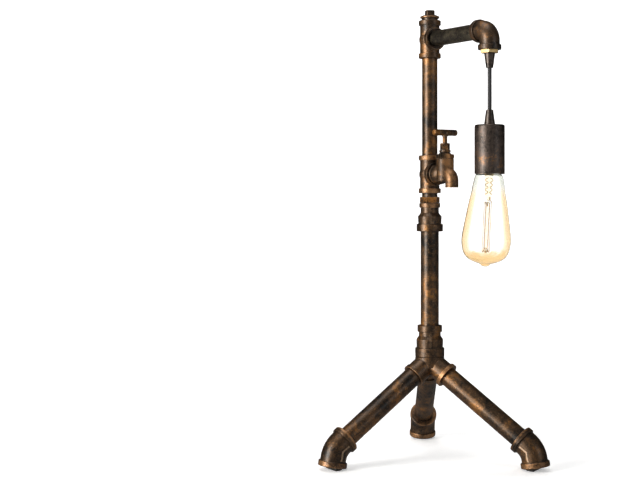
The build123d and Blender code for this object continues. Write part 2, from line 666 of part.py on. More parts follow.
def gland(mouth):
    """Cord gland that tapers to a mouth; the plane's Z points from the mouth into the gland."""
    cord_bore = CORD_RADIUS + CORD_GAP
    end = GLAND_LENGTH + GLAND_STEM_LENGTH
    turn(mouth, [
        (cord_bore + GLAND_FLARE, 0, 0),
        (GLAND_SMALL_RADIUS, 0, GLAND_EDGE),
        (GLAND_LARGE_RADIUS, GLAND_LENGTH, GLAND_EDGE),
        (GLAND_STEM_RADIUS, GLAND_LENGTH, 0),
        (GLAND_STEM_RADIUS, end, 0.4),
        (cord_bore, end, 0),
        (cord_bore, GLAND_FLARE, 0),
    ])


upper_mouth = on_drop(CORD_TOP)
lower_mouth = Plane(origin=drop_foot + Vector(0, 0, CORD_FOOT), x_dir=ahead, z_dir=(0, 0, -1))
with BuildPart() as upper_gland:
    gland(upper_mouth)
save(upper_gland, "upper_gland")

# The switched cable runs from the switch up the pole, along the arm and down to the upper gland.
switch_back = SPINDLE_REACH - SWITCH_RADIUS + SWITCH_FLAT
cable_start = switch_back - TERMINAL_LENGTH
with BuildPart() as switched_cable:
    with BuildLine() as cable_route:
        FilletPolyline(
            pole_foot + Vector(0, 0, TAP_HEIGHT) + ahead * cable_start,
            pole_foot + Vector(0, 0, TAP_HEIGHT),
            pole_foot + Vector(0, 0, ARM_HEIGHT),
            elbow_corner,
            drop_foot + Vector(0, 0, CORD_TOP + CORD_END_GAP),
            radius=CABLE_BEND,
        )
    tube(cable_route.line, CORD_RADIUS)
save(switched_cable, "switched_cable")


# ---- Pendant ----

with BuildPart() as pendant_cord:
    ring(on_drop(0), CORD_RADIUS, 0, CORD_FOOT, CORD_TOP)
save(pendant_cord, "pendant_cord")

with BuildPart() as lower_gland:
    gland(lower_mouth)
save(lower_gland, "lower_gland")

cover_ceiling = COVER_TOP - COVER_WALL
cover_bore = COVER_RADIUS - COVER_WALL
with BuildPart() as socket_cover:
    ring(on_drop(0), COVER_RADIUS, 0, COVER_RIM, COVER_TOP)
    fillet(socket_cover.faces().sort_by(Axis.Z)[-1].edges(), COVER_EDGE)
    bore(on_drop(0), cover_bore, COVER_RIM, cover_ceiling - COVER_WALL)
    turn(on_drop(0), [(0, COVER_RIM, 0), (cover_bore, COVER_RIM, 0), (cover_bore, cover_ceiling, COVER_WALL),
                      (0, cover_ceiling, 0)], Mode.SUBTRACT)
    bore(on_drop(0), stem_bore, cover_ceiling, COVER_TOP)
save(socket_cover, "socket_cover")

gland_nut_base = cover_ceiling - GLAND_NUT_HEIGHT
with BuildPart() as gland_nut:
    hexagon(on_drop(0), GLAND_NUT_FLATS, gland_nut_base, cover_ceiling, 0, NUT_CHAMFER)
    bore(on_drop(0), stem_bore, gland_nut_base, cover_ceiling)
save(gland_nut, "gland_nut")

# Heights inside the lampholder, upwards from the cover's rim
cap_base = COVER_RIM + CAP_START
cap_top = cap_base + CAP_LENGTH
bulb_tip = cap_top + CAP_CONE + CONTACT_HEIGHT
contact_base = bulb_tip + CONTACT_GAP
holder_ceiling = contact_base + CONTACT_LEAF
holder_split = holder_ceiling + HOLDER_CEILING + HOLDER_RIM_HEIGHT
holder_base = COVER_RIM + HOLDER_RECESS
shell_inside = CAP_RADIUS + CAP_PLAY
shell_outside = shell_inside + HOLDER_SHELL_WALL
chamber_top = gland_nut_base - HOLDER_CAP_TOP
screw_places = [on_drop(0).location * Location((x, 0, 0)) for x in (HOLDER_SCREW_REACH, -HOLDER_SCREW_REACH)]
terminal_places = [on_drop(0).location * Location((0, y, 0)) for y in (TERMINAL_REACH, -TERMINAL_REACH)]

with BuildPart() as lampholder_body:
    ring(on_drop(0), HOLDER_RADIUS, 0, holder_base, holder_split, HOLDER_EDGE)
    bore(on_drop(0), shell_outside + THREAD_GAP, holder_base, holder_ceiling)
    bore(on_drop(0), HOLDER_CHAMBER_RADIUS, holder_split - HOLDER_RIM_HEIGHT, holder_split)
    bore(on_drop(0), RIVET_RADIUS + THREAD_GAP, holder_ceiling, holder_split)
    for place in screw_places:
        bore(Plane(place), HOLDER_SCREW_RADIUS + THREAD_GAP, holder_split - HOLDER_SCREW_GRIP, holder_split)
    for place in terminal_places:
        bore(Plane(place), TERMINAL_RADIUS + THREAD_GAP, holder_split - HOLDER_RIM_HEIGHT - TERMINAL_GRIP,
             holder_split)
save(lampholder_body, "lampholder_body")

with BuildPart() as lampholder_shell:
    ring(on_drop(0), shell_outside, shell_inside, holder_base, holder_base + HOLDER_SHELL_LENGTH)
save(lampholder_shell, "lampholder_shell")

with BuildPart() as centre_contact:
    ring(on_drop(0), CONTACT_LEAF_RADIUS, 0, contact_base, holder_ceiling, 0.2)
    ring(on_drop(0), RIVET_RADIUS, 0, holder_ceiling, holder_ceiling + HOLDER_CEILING)
save(centre_contact, "centre_contact")

with BuildPart() as terminal_screws:
    for place in terminal_places:
        floor = holder_split - HOLDER_RIM_HEIGHT
        ring(Plane(place), TERMINAL_RADIUS, 0, floor - TERMINAL_GRIP, floor)
        ring(Plane(place), TERMINAL_HEAD_RADIUS, 0, floor, floor + TERMINAL_HEAD, 0.3)
save(terminal_screws, "terminal_screws")

with BuildPart() as lampholder_cap:
    ring(on_drop(0), HOLDER_RADIUS, 0, holder_split, gland_nut_base, HOLDER_EDGE)
    bore(on_drop(0), HOLDER_CHAMBER_RADIUS, holder_split, chamber_top)
    bore(on_drop(0), stem_bore, chamber_top, gland_nut_base)
    for place in screw_places:
        bore(Plane(place), HOLDER_SCREW_RADIUS + THREAD_GAP, holder_split, gland_nut_base)
        bore(Plane(place), HOLDER_SCREW_HEAD_RADIUS + THREAD_GAP,
             gland_nut_base - HOLDER_SCREW_HEAD, gland_nut_base)
save(lampholder_cap, "lampholder_cap")

with BuildPart() as holder_screws:
    for place in screw_places:
        ring(Plane(place), HOLDER_SCREW_RADIUS, 0, holder_split - HOLDER_SCREW_GRIP,
             gland_nut_base - HOLDER_SCREW_HEAD)
        ring(Plane(place), HOLDER_SCREW_HEAD_RADIUS, 0,
             gland_nut_base - HOLDER_SCREW_HEAD, gland_nut_base, 0.3)
save(holder_screws, "holder_screws")

# The cord's sheath ends in the holder's chamber, and its two leads go down to the terminals.
sheath_end = COVER_TOP - GLAND_STEM_LENGTH - SHEATH_SHOWING
lead_end = holder_split - HOLDER_RIM_HEIGHT + TERMINAL_HEAD
lead_knee = (sheath_end + lead_end) / 2
with BuildPart() as lampholder_leads:
    ring(on_drop(0), CORD_RADIUS, 0, sheath_end, CORD_FOOT - CORD_END_GAP)
    for hand in (1, -1):
        with BuildLine() as lead_route:
            FilletPolyline(
                drop_foot + tangent * (hand * LEAD_SPREAD) + Vector(0, 0, sheath_end),
                drop_foot + tangent * (hand * LEAD_SPREAD) + Vector(0, 0, lead_knee + LEAD_RISE),
                drop_foot + tangent * (hand * TERMINAL_REACH) + Vector(0, 0, lead_knee - LEAD_RISE),
                drop_foot + tangent * (hand * TERMINAL_REACH) + Vector(0, 0, lead_end),
                radius=LEAD_BEND,
            )
        tube(lead_route.line, LEAD_RADIUS)
save(lampholder_leads, "lampholder_leads")


# ---- Bulb, which sits a little crooked in its holder ----

lean = Vector(0, 0, 1) + heading(BULB_LEAN_TURN) * -tan(radians(BULB_LEAN))
cap_middle = cap_base + CAP_LENGTH / 2
bulb_plane = Plane(origin=drop_foot + Vector(0, 0, cap_middle), x_dir=(lean.Z, 0, -lean.X), z_dir=lean)
cap_inside = CAP_RADIUS - CAP_WALL
cap_low = cap_base - cap_middle
cap_high = cap_top - cap_middle
shoulder_low = COVER_RIM - BULB_SHOULDER_DROP - cap_middle
globe_centre = COVER_RIM - BULB_DROP - cap_middle
neck_high = cap_high - BULB_NECK_INSET


def glass(inset, top, mode=Mode.ADD):
    """Bulb's shape, drawn in by an inset: a round end, a cone, a shoulder and a straight neck."""
    radius = BULB_RADIUS - inset
    taper = radians(BULB_TAPER)
    shoulder = (radius - (shoulder_low - globe_centre) * sin(taper)) / cos(taper)
    half = Plane(origin=bulb_plane.origin, x_dir=bulb_plane.x_dir, z_dir=-bulb_plane.y_dir)
    with BuildSketch(half) as section:
        with BuildLine():
            globe = CenterArc((0, globe_centre), radius, -90, 90 + BULB_TAPER)
            Polyline(
                globe @ 1,
                (shoulder, shoulder_low),
                (BULB_NECK_RADIUS - inset, cap_low - CAP_START),
                (cap_inside - THREAD_GAP - inset, cap_low - ASSEMBLY_GAP),
                (cap_inside - THREAD_GAP - inset, top),
                (0, top),
                globe @ 0,
            )
        make_face()
    revolve(section.sketch, axis=Axis(bulb_plane.origin, bulb_plane.z_dir), mode=mode)


with BuildPart() as bulb_glass:
    glass(0, neck_high)
    pip_end = globe_centre - BULB_RADIUS - BULB_PIP_LENGTH
    turn(bulb_plane, [(0, pip_end, 0), (BULB_PIP_RADIUS, pip_end, BULB_PIP_EDGE),
                      (BULB_PIP_RADIUS, globe_centre - BULB_RADIUS + BULB_GLASS, 0),
                      (0, globe_centre - BULB_RADIUS + BULB_GLASS, 0)])
    glass(BULB_GLASS, neck_high + BULB_GLASS, Mode.SUBTRACT)
save(bulb_glass, "bulb_glass")

with BuildPart() as bulb_cap:
    turn(bulb_plane, [
        (cap_inside, cap_low, 0),
        (CAP_RADIUS, cap_low, 0),
        (CAP_RADIUS, cap_high, CAP_EDGE),
        (INSULATOR_RADIUS, cap_high, 0),
        (INSULATOR_RADIUS, cap_high - CAP_WALL, 0),
        (cap_inside, cap_high - CAP_WALL, CAP_EDGE - CAP_WALL),
    ])
save(bulb_cap, "bulb_cap")

with BuildPart() as cap_insulator:
    turn(bulb_plane, [(0, cap_high - CAP_WALL, 0), (INSULATOR_RADIUS, cap_high - CAP_WALL, 0),
                      (INSULATOR_RADIUS, cap_high, 0), (CONTACT_RADIUS, cap_high + CAP_CONE, 0),
                      (0, cap_high + CAP_CONE, 0)])
save(cap_insulator, "cap_insulator")

with BuildPart() as cap_contact:
    ring(bulb_plane, CONTACT_RADIUS, 0, cap_high + CAP_CONE, cap_high + CAP_CONE + CONTACT_HEIGHT, 0.6)
save(cap_contact, "cap_contact")

stem_low = cap_low - STEM_DROP
cage_high = stem_low - CAGE_DROP
cage_low = cage_high - CAGE_LENGTH
flare_inside = cap_inside - THREAD_GAP - BULB_GLASS
with BuildPart() as bulb_stem:
    turn(bulb_plane, [(0, stem_low, 0), (STEM_RADIUS, stem_low, 1.5), (STEM_RADIUS, cap_low - CAP_START, 4),
                      (flare_inside, cap_low + STEM_FLARE, 1), (flare_inside, cap_low + STEM_FLARE + 1, 0),
                      (0, cap_low + STEM_FLARE + 1, 0)])
    ring(bulb_plane, STEM_ROD_RADIUS, 0, cage_low, stem_low + STEM_RADIUS)
save(bulb_stem, "bulb_stem")


def on_cage(step, radius, height):
    """Point on the filament's round cage, counted in steps from one upright leg to the next."""
    angle = pi * step / FILAMENT_LOOPS
    return bulb_plane.from_local_coords(Vector(radius * cos(angle), radius * sin(angle), height))


with BuildPart() as filament:
    turns = []
    for step in range(2 * FILAMENT_LOOPS):
        ends = (cage_high, cage_low) if step % 2 == 0 else (cage_low, cage_high)
        turns += [on_cage(step, CAGE_RADIUS, height) for height in ends]
    with BuildLine() as filament_route:
        FilletPolyline(*turns, radius=FILAMENT_HOOK)
    tube(filament_route.line, FILAMENT_RADIUS)
save(filament, "filament")

# Each loop is held at its middle by a wire from the glass rod, and two wires lead up to the stem.
loop_reach = CAGE_RADIUS * cos(pi / (2 * FILAMENT_LOOPS)) - FILAMENT_RADIUS
with BuildPart() as support_wires:
    wires = []
    for step in range(2 * FILAMENT_LOOPS - 1):
        height = cage_low + FILAMENT_RADIUS if step % 2 == 0 else cage_high - FILAMENT_RADIUS
        wires.append((on_cage(step + 0.5, STEM_ROD_RADIUS, height), on_cage(step + 0.5, loop_reach, height)))
    for step in (0, 2 * FILAMENT_LOOPS - 1):
        wires.append((on_cage(step, CAGE_RADIUS, cage_high + ASSEMBLY_GAP),
                      on_cage(step, LEAD_IN_REACH, stem_low - ASSEMBLY_GAP)))
    for start, finish in wires:
        reach = finish - start
        ring(Plane(origin=start, z_dir=reach.normalized()), WIRE_RADIUS, 0, 0, reach.length)
save(support_wires, "support_wires")


# ---- Tap ----

tap_axis = along(pole_foot + Vector(0, 0, TAP_HEIGHT), ahead)
spigot_start = BRANCH_REACH - BRANCH_SOCKET_DEPTH
chamber_floor = TAP_HEIGHT - CHAMBER_FLOOR
bonnet_seat = TAP_HEIGHT + CHAMBER_TOP
spout_corner = pole_foot + ahead * SPOUT_REACH + Vector(0, 0, TAP_HEIGHT)
spout_mouth = TAP_HEIGHT - SPOUT_DROP
on_spout = Plane(origin=pole_foot + ahead * SPOUT_REACH, x_dir=ahead)

with BuildPart() as tap_body:
    with Locations(tap_axis.origin + ahead * GLOBE_REACH):
        Sphere(GLOBE_RADIUS)
    split(bisect_by=tap_axis.offset(BRANCH_REACH), keep=Keep.TOP)
    ring(tap_axis, TAP_FLANGE_RADIUS, 0, BRANCH_REACH, BRANCH_REACH + TAP_FLANGE_LENGTH, TAP_EDGE)
    ring(tap_axis, PIPE_RADIUS, 0, spigot_start, BRANCH_REACH)
    ring(on_spindle(0), CHAMBER_RADIUS, 0, chamber_floor - CHAMBER_WALL, bonnet_seat, TAP_EDGE)
    ring(tap_axis, SPOUT_RADIUS, 0, GLOBE_REACH, SPOUT_REACH - SPOUT_BEND)
    bend(spout_corner, ahead, down, SPOUT_BEND, SPOUT_RADIUS)
    ring(on_spout, SPOUT_RADIUS, 0, spout_mouth, TAP_HEIGHT - SPOUT_BEND)
    bore(tap_axis, TAP_INLET_BORE, spigot_start, SPINDLE_REACH)
    bore(on_spindle(0), CHAMBER_BORE, chamber_floor, bonnet_seat)
    bore(on_spout, SPOUT_RADIUS - SPOUT_WALL, spout_mouth, spout_mouth + SPOUT_HOLLOW)
save(tap_body, "tap_body")

with BuildPart() as rotary_switch:
    ring(on_spindle(0), SWITCH_RADIUS, 0, chamber_floor, chamber_floor + SWITCH_HEIGHT, 0.5)
    split(bisect_by=tap_axis.offset(switch_back), keep=Keep.TOP)
    ring(on_spindle(0), SWITCH_BUSH_RADIUS, 0, chamber_floor + SWITCH_HEIGHT, bonnet_seat - SWITCH_BUSH_DROP)
    bore(on_spindle(0), SPINDLE_RADIUS + RUNNING_GAP,
         bonnet_seat - SWITCH_BUSH_DROP - SWITCH_SHAFT_DEPTH - FACE_GAP, bonnet_seat - SWITCH_BUSH_DROP)
save(rotary_switch, "rotary_switch")

with BuildPart() as switch_terminals:
    for hand in (1, -1):
        pin = Plane(origin=tap_axis.origin + tangent * (hand * SWITCH_PIN_REACH), x_dir=tangent, z_dir=ahead)
        ring(pin, SWITCH_PIN_RADIUS, 0, cable_start, switch_back)
save(switch_terminals, "switch_terminals")

spindle_bore = SPINDLE_RADIUS + RUNNING_GAP
bonnet_cone_base = bonnet_seat + BONNET_HEIGHT
bonnet_ring_base = bonnet_cone_base + BONNET_CONE_HEIGHT
bonnet_top = bonnet_ring_base + BONNET_RING_HEIGHT
bonnet_stem_top = bonnet_top + BONNET_STEM_HEIGHT
seal_top = bonnet_stem_top + SEAL_HEIGHT
packing_nut_top = bonnet_top + PACKING_NUT_HEIGHT
with BuildPart() as tap_bonnet:
    hexagon(on_spindle(0), BONNET_FLATS, bonnet_seat, bonnet_cone_base, BONNET_TURN, NUT_CHAMFER)
    turn(on_spindle(0), [
        (0, bonnet_seat - BONNET_SPIGOT, 0),
        (CHAMBER_BORE - THREAD_GAP, bonnet_seat - BONNET_SPIGOT, 0),
        (CHAMBER_BORE - THREAD_GAP, bonnet_cone_base, 0),
        (BONNET_CONE_RADIUS, bonnet_cone_base, 0),
        (BONNET_NECK_RADIUS, bonnet_ring_base, 0),
        (BONNET_RING_RADIUS, bonnet_ring_base, 0.4),
        (BONNET_RING_RADIUS, bonnet_top, 0.4),
        (BONNET_STEM_RADIUS, bonnet_top, 0),
        (BONNET_STEM_RADIUS, bonnet_stem_top, 0),
        (0, bonnet_stem_top, 0),
    ])
    bore(on_spindle(0), spindle_bore, bonnet_seat - BONNET_SPIGOT, bonnet_stem_top)
    bore(on_spindle(0), SWITCH_BUSH_RADIUS + THREAD_GAP, bonnet_seat - BONNET_SPIGOT,
         bonnet_seat - SWITCH_BUSH_DROP)
save(tap_bonnet, "tap_bonnet")

with BuildPart() as packing_nut:
    hexagon(on_spindle(0), PACKING_NUT_FLATS, bonnet_top, packing_nut_top, PACKING_NUT_TURN, NUT_CHAMFER)
    ring(on_spindle(0), PACKING_LIP_RADIUS, 0, packing_nut_top - PACKING_LIP_HEIGHT, packing_nut_top, 0.4)
    bore(on_spindle(0), BONNET_STEM_RADIUS + THREAD_GAP, bonnet_top, seal_top)
    bore(on_spindle(0), spindle_bore, seal_top, packing_nut_top)
save(packing_nut, "packing_nut")

with BuildPart() as spindle_seal:
    ring(on_spindle(0), BONNET_STEM_RADIUS, spindle_bore, bonnet_stem_top, seal_top)
save(spindle_seal, "spindle_seal")

bar_height = packing_nut_top + HANDLE_RISE + HANDLE_BAR_RADIUS
spindle_top = bar_height - HANDLE_BAR_RADIUS + HANDLE_BORE_DEPTH
bar_plane = Plane(origin=spindle_foot + Vector(0, 0, bar_height), x_dir=ahead, z_dir=tangent)
pin_centre = spindle_foot + Vector(0, 0, spindle_top - HANDLE_PIN_INSET)
pin_plane = Plane(origin=pin_centre, x_dir=tangent, z_dir=ahead)

with BuildPart() as tap_spindle:
    ring(on_spindle(0), SPINDLE_RADIUS, 0, bonnet_seat - SWITCH_BUSH_DROP - SWITCH_SHAFT_DEPTH, spindle_top)
    bore(pin_plane, HANDLE_PIN_RADIUS + THREAD_GAP, -HANDLE_BAR_RADIUS, HANDLE_BAR_RADIUS)
save(tap_spindle, "tap_spindle")

with BuildPart() as tap_handle:
    ring(bar_plane, HANDLE_BAR_RADIUS, 0, -HANDLE_LENGTH / 2, HANDLE_LENGTH / 2, HANDLE_EDGE)
    for hand in (1, -1):
        groove = hand * (HANDLE_LENGTH / 2 - HANDLE_KNOB_LENGTH)
        ring(bar_plane, 2 * HANDLE_BAR_RADIUS, HANDLE_BAR_RADIUS - HANDLE_GROOVE,
             groove - HANDLE_GROOVE / 2, groove + HANDLE_GROOVE / 2, mode=Mode.SUBTRACT)
    ring(on_spindle(0), HANDLE_HUB_RADIUS, 0, bar_height - HANDLE_BAR_RADIUS - HANDLE_HUB_DROP, bar_height)
    bore(on_spindle(0), SPINDLE_RADIUS + THREAD_GAP,
         bar_height - HANDLE_BAR_RADIUS - HANDLE_HUB_DROP, spindle_top)
    bore(pin_plane, HANDLE_PIN_RADIUS + THREAD_GAP, -2 * HANDLE_BAR_RADIUS, 2 * HANDLE_BAR_RADIUS)
save(tap_handle, "tap_handle")

with BuildPart() as handle_pin:
    ring(pin_plane, HANDLE_PIN_RADIUS, 0, -HANDLE_PIN_LENGTH / 2, HANDLE_PIN_LENGTH / 2, 0.2)
save(handle_pin, "handle_pin")
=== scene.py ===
"""Industrial pipe table lamp: its finishes, its bulb, its hanging cord and the stage it stands on.

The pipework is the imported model's own, dressed in rubbed bronze. The bulb's glass, threaded cap, stem,
filament and wires and the hanging cord are surfaces made here, each in the place of the plain solid that it
stands for. Everything is in metres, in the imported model's frame: +Z up, the rear leg towards +Y.
"""

import json
import math

import bpy
import numpy as np
from bpy.props import FloatProperty, FloatVectorProperty, IntProperty, PointerProperty
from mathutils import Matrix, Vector


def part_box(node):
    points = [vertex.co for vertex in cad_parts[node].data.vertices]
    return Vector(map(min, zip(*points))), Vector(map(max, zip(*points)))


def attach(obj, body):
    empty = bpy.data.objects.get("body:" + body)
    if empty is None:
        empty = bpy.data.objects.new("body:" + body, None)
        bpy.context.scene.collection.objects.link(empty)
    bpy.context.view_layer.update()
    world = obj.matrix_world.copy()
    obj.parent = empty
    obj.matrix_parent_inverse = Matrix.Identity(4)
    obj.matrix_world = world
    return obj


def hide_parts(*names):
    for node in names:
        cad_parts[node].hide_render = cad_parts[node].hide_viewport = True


bl_info = {
    "name": "Pipe Lamp Dresser",
    "version": (1, 0, 0),
    "blender": (4, 5, 0),
    "location": "3D View > Sidebar > Pipe Lamp",
    "description": "Dresses an industrial pipe table lamp in rubbed bronze, with its filament bulb and cord",
    "category": "Object",
}

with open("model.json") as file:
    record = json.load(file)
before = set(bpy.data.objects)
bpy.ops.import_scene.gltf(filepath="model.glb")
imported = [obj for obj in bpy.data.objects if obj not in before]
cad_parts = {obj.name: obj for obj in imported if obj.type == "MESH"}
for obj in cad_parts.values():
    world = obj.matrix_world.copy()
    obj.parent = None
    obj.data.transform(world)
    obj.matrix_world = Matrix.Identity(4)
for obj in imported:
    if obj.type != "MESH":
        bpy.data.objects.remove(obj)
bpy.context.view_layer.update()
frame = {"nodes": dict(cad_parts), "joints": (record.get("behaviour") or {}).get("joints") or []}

MM = 0.001
UP = (0, 0, 1)
FRONT_ANGLE = math.radians(-90)
FOOT_TURN = math.radians(45)
SIDES = ("left", "right", "rear")

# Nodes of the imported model, by finish
CASTINGS = [
    "leg_hub", "foot_elbow_left", "foot_elbow_right", "foot_elbow_rear", "lower_reducer", "upper_reducer",
    "tap_tee", "arm_tee", "top_plug",
]
PIPES = [
    "leg_pipe_left", "leg_pipe_right", "leg_pipe_rear", "hub_nipple", "lower_pole", "upper_pole",
    "swivel_nipple",
]
TAP_PARTS = ["tap_body", "tap_bonnet", "packing_nut", "tap_spindle", "tap_handle", "handle_pin"]
GLANDS = ["upper_gland", "lower_gland"]
RUBBERS = ["foot_plug_left", "foot_plug_right", "foot_plug_rear", "hub_grommet", "spindle_seal"]
BRASSES = [
    "gland_nut", "lampholder_shell", "centre_contact", "terminal_screws", "cap_contact", "switch_terminals",
]
PORCELAINS = ["lampholder_body", "lampholder_cap"]
CABLES = ["switched_cable", "lampholder_leads"]


def joint(name):
    """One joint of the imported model."""
    return next(j for j in frame["joints"] if j["name"] == name)


def middle(node):
    """Middle of a node's box at rest."""
    low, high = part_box(node)
    return (low + high) / 2


def points_of(node):
    """A node's points at rest, one to a row."""
    vertices = frame["nodes"][node].data.vertices
    points = np.empty(3 * len(vertices))
    vertices.foreach_get("co", points)
    return points.reshape(-1, 3)


def span(node, direction):
    """Least and greatest distance of a node's points along a direction."""
    along = points_of(node) @ np.array(direction)
    return along.min(), along.max()


def leg_directions(side):
    """Directions of one leg's pipe and of its foot's mouth, which points more steeply down, both outward.
    The pipe's is the direction in which its points spread most."""
    points = points_of("leg_pipe_" + side)
    pipe = np.linalg.svd(points - points.mean(axis=0), full_matrices=False)[2][0]
    pipe *= -np.sign(pipe[2])
    level = math.hypot(pipe[0], pipe[1])
    slope = math.atan2(-pipe[2], level) + FOOT_TURN
    mouth = np.array([
        math.cos(slope) * pipe[0] / level, math.cos(slope) * pipe[1] / level, -math.sin(slope)])
    return pipe, mouth


POLE = middle("upper_pole")
DROP = middle("pendant_cord")
CORD_LOW, CORD_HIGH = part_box("pendant_cord")
COVER_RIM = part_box("socket_cover")[0].z
BULB_AXIS = -Vector(joint("bulb_out")["axis"]).normalized()
CAP_MIDDLE = np.array(middle("bulb_cap"))
# The bulb is measured from where its axis crosses the level of the cover's rim.
BULB_SEAT = CAP_MIDDLE + (COVER_RIM - CAP_MIDDLE[2]) / BULB_AXIS.z * np.array(BULB_AXIS)


# ---- Settings that a user would change ----

class LampFinishes(bpy.types.PropertyGroup):
    """Colours and wear of the metal."""

    shade: FloatVectorProperty(
        name="Bronze shade", description="Darkest tone of the aged bronze",
        subtype="COLOR", size=3, min=0, max=1, default=(0.017, 0.014, 0.012))
    body: FloatVectorProperty(
        name="Bronze body", description="Ordinary brown of the aged bronze",
        subtype="COLOR", size=3, min=0, max=1, default=(0.160, 0.090, 0.044))
    copper: FloatVectorProperty(
        name="Copper patches", description="Warm tone where the bronze is rubbed",
        subtype="COLOR", size=3, min=0, max=1, default=(0.54, 0.235, 0.055))
    rubbed: FloatVectorProperty(
        name="Rubbed bands", description="Copper of the bands that hands and tools have rubbed",
        subtype="COLOR", size=3, min=0, max=1, default=(0.58, 0.31, 0.145))
    wear: FloatVectorProperty(
        name="Worn edges", description="Pale copper on the edges and the fine speckle",
        subtype="COLOR", size=3, min=0, max=1, default=(0.85, 0.62, 0.44))
    rim: FloatVectorProperty(
        name="Edge-on tone", description="Reflection of the aged bronze where it is seen edge on",
        subtype="COLOR", size=3, min=0, max=1, default=(0.30, 0.27, 0.25))
    brass: FloatVectorProperty(
        name="Brass", description="Colour of the polished brass bushing",
        subtype="COLOR", size=3, min=0, max=1, default=(0.66, 0.47, 0.22))
    patch: FloatProperty(
        name="Patch size", description="Usual width of a copper patch",
        subtype="DISTANCE", unit="LENGTH", min=0.001, max=0.1, default=0.011)
    edge: FloatProperty(
        name="Edge wear", description="How far wear reaches in from an edge",
        subtype="DISTANCE", unit="LENGTH", min=0.0001, max=0.01, default=0.0012)


class LampBulb(bpy.types.PropertyGroup):
    """Sizes and tint of the bulb."""

    tint: FloatVectorProperty(
        name="Glass tint", description="Amber of the glass, seen on edge",
        subtype="COLOR", size=3, min=0, max=1, default=(0.88, 0.72, 0.48))
    wall: FloatProperty(
        name="Glass wall", description="Thickness of the bulb's glass",
        subtype="DISTANCE", unit="LENGTH", min=0.0003, max=0.003, default=0.0008)
    wire: FloatProperty(
        name="Filament", description="Radius of the filament's wire",
        subtype="DISTANCE", unit="LENGTH", min=0.0001, max=0.001, default=0.00034)
    facets: IntProperty(
        name="Facets", description="Steps round the bulb", min=24, max=256, default=128)


class LampStage(bpy.types.PropertyGroup):
    """Camera and light."""

    lens: FloatProperty(
        name="Lens", description="Focal length on a 36 mm wide frame",
        subtype="DISTANCE_CAMERA", unit="CAMERA", min=10, max=300, default=74.14)
    distance: FloatProperty(
        name="Camera distance", description="Camera to the pole, level",
        subtype="DISTANCE", unit="LENGTH", min=0.5, max=10, default=1.8253)
    height: FloatProperty(
        name="Camera height", description="Camera above the table",
        subtype="DISTANCE", unit="LENGTH", min=0, max=3, default=0.363)
    key: FloatProperty(
        name="Key light", description="Power of the large light on the left",
        subtype="POWER", unit="POWER", min=0, max=1000, default=60)


# ---- Material nodes ----

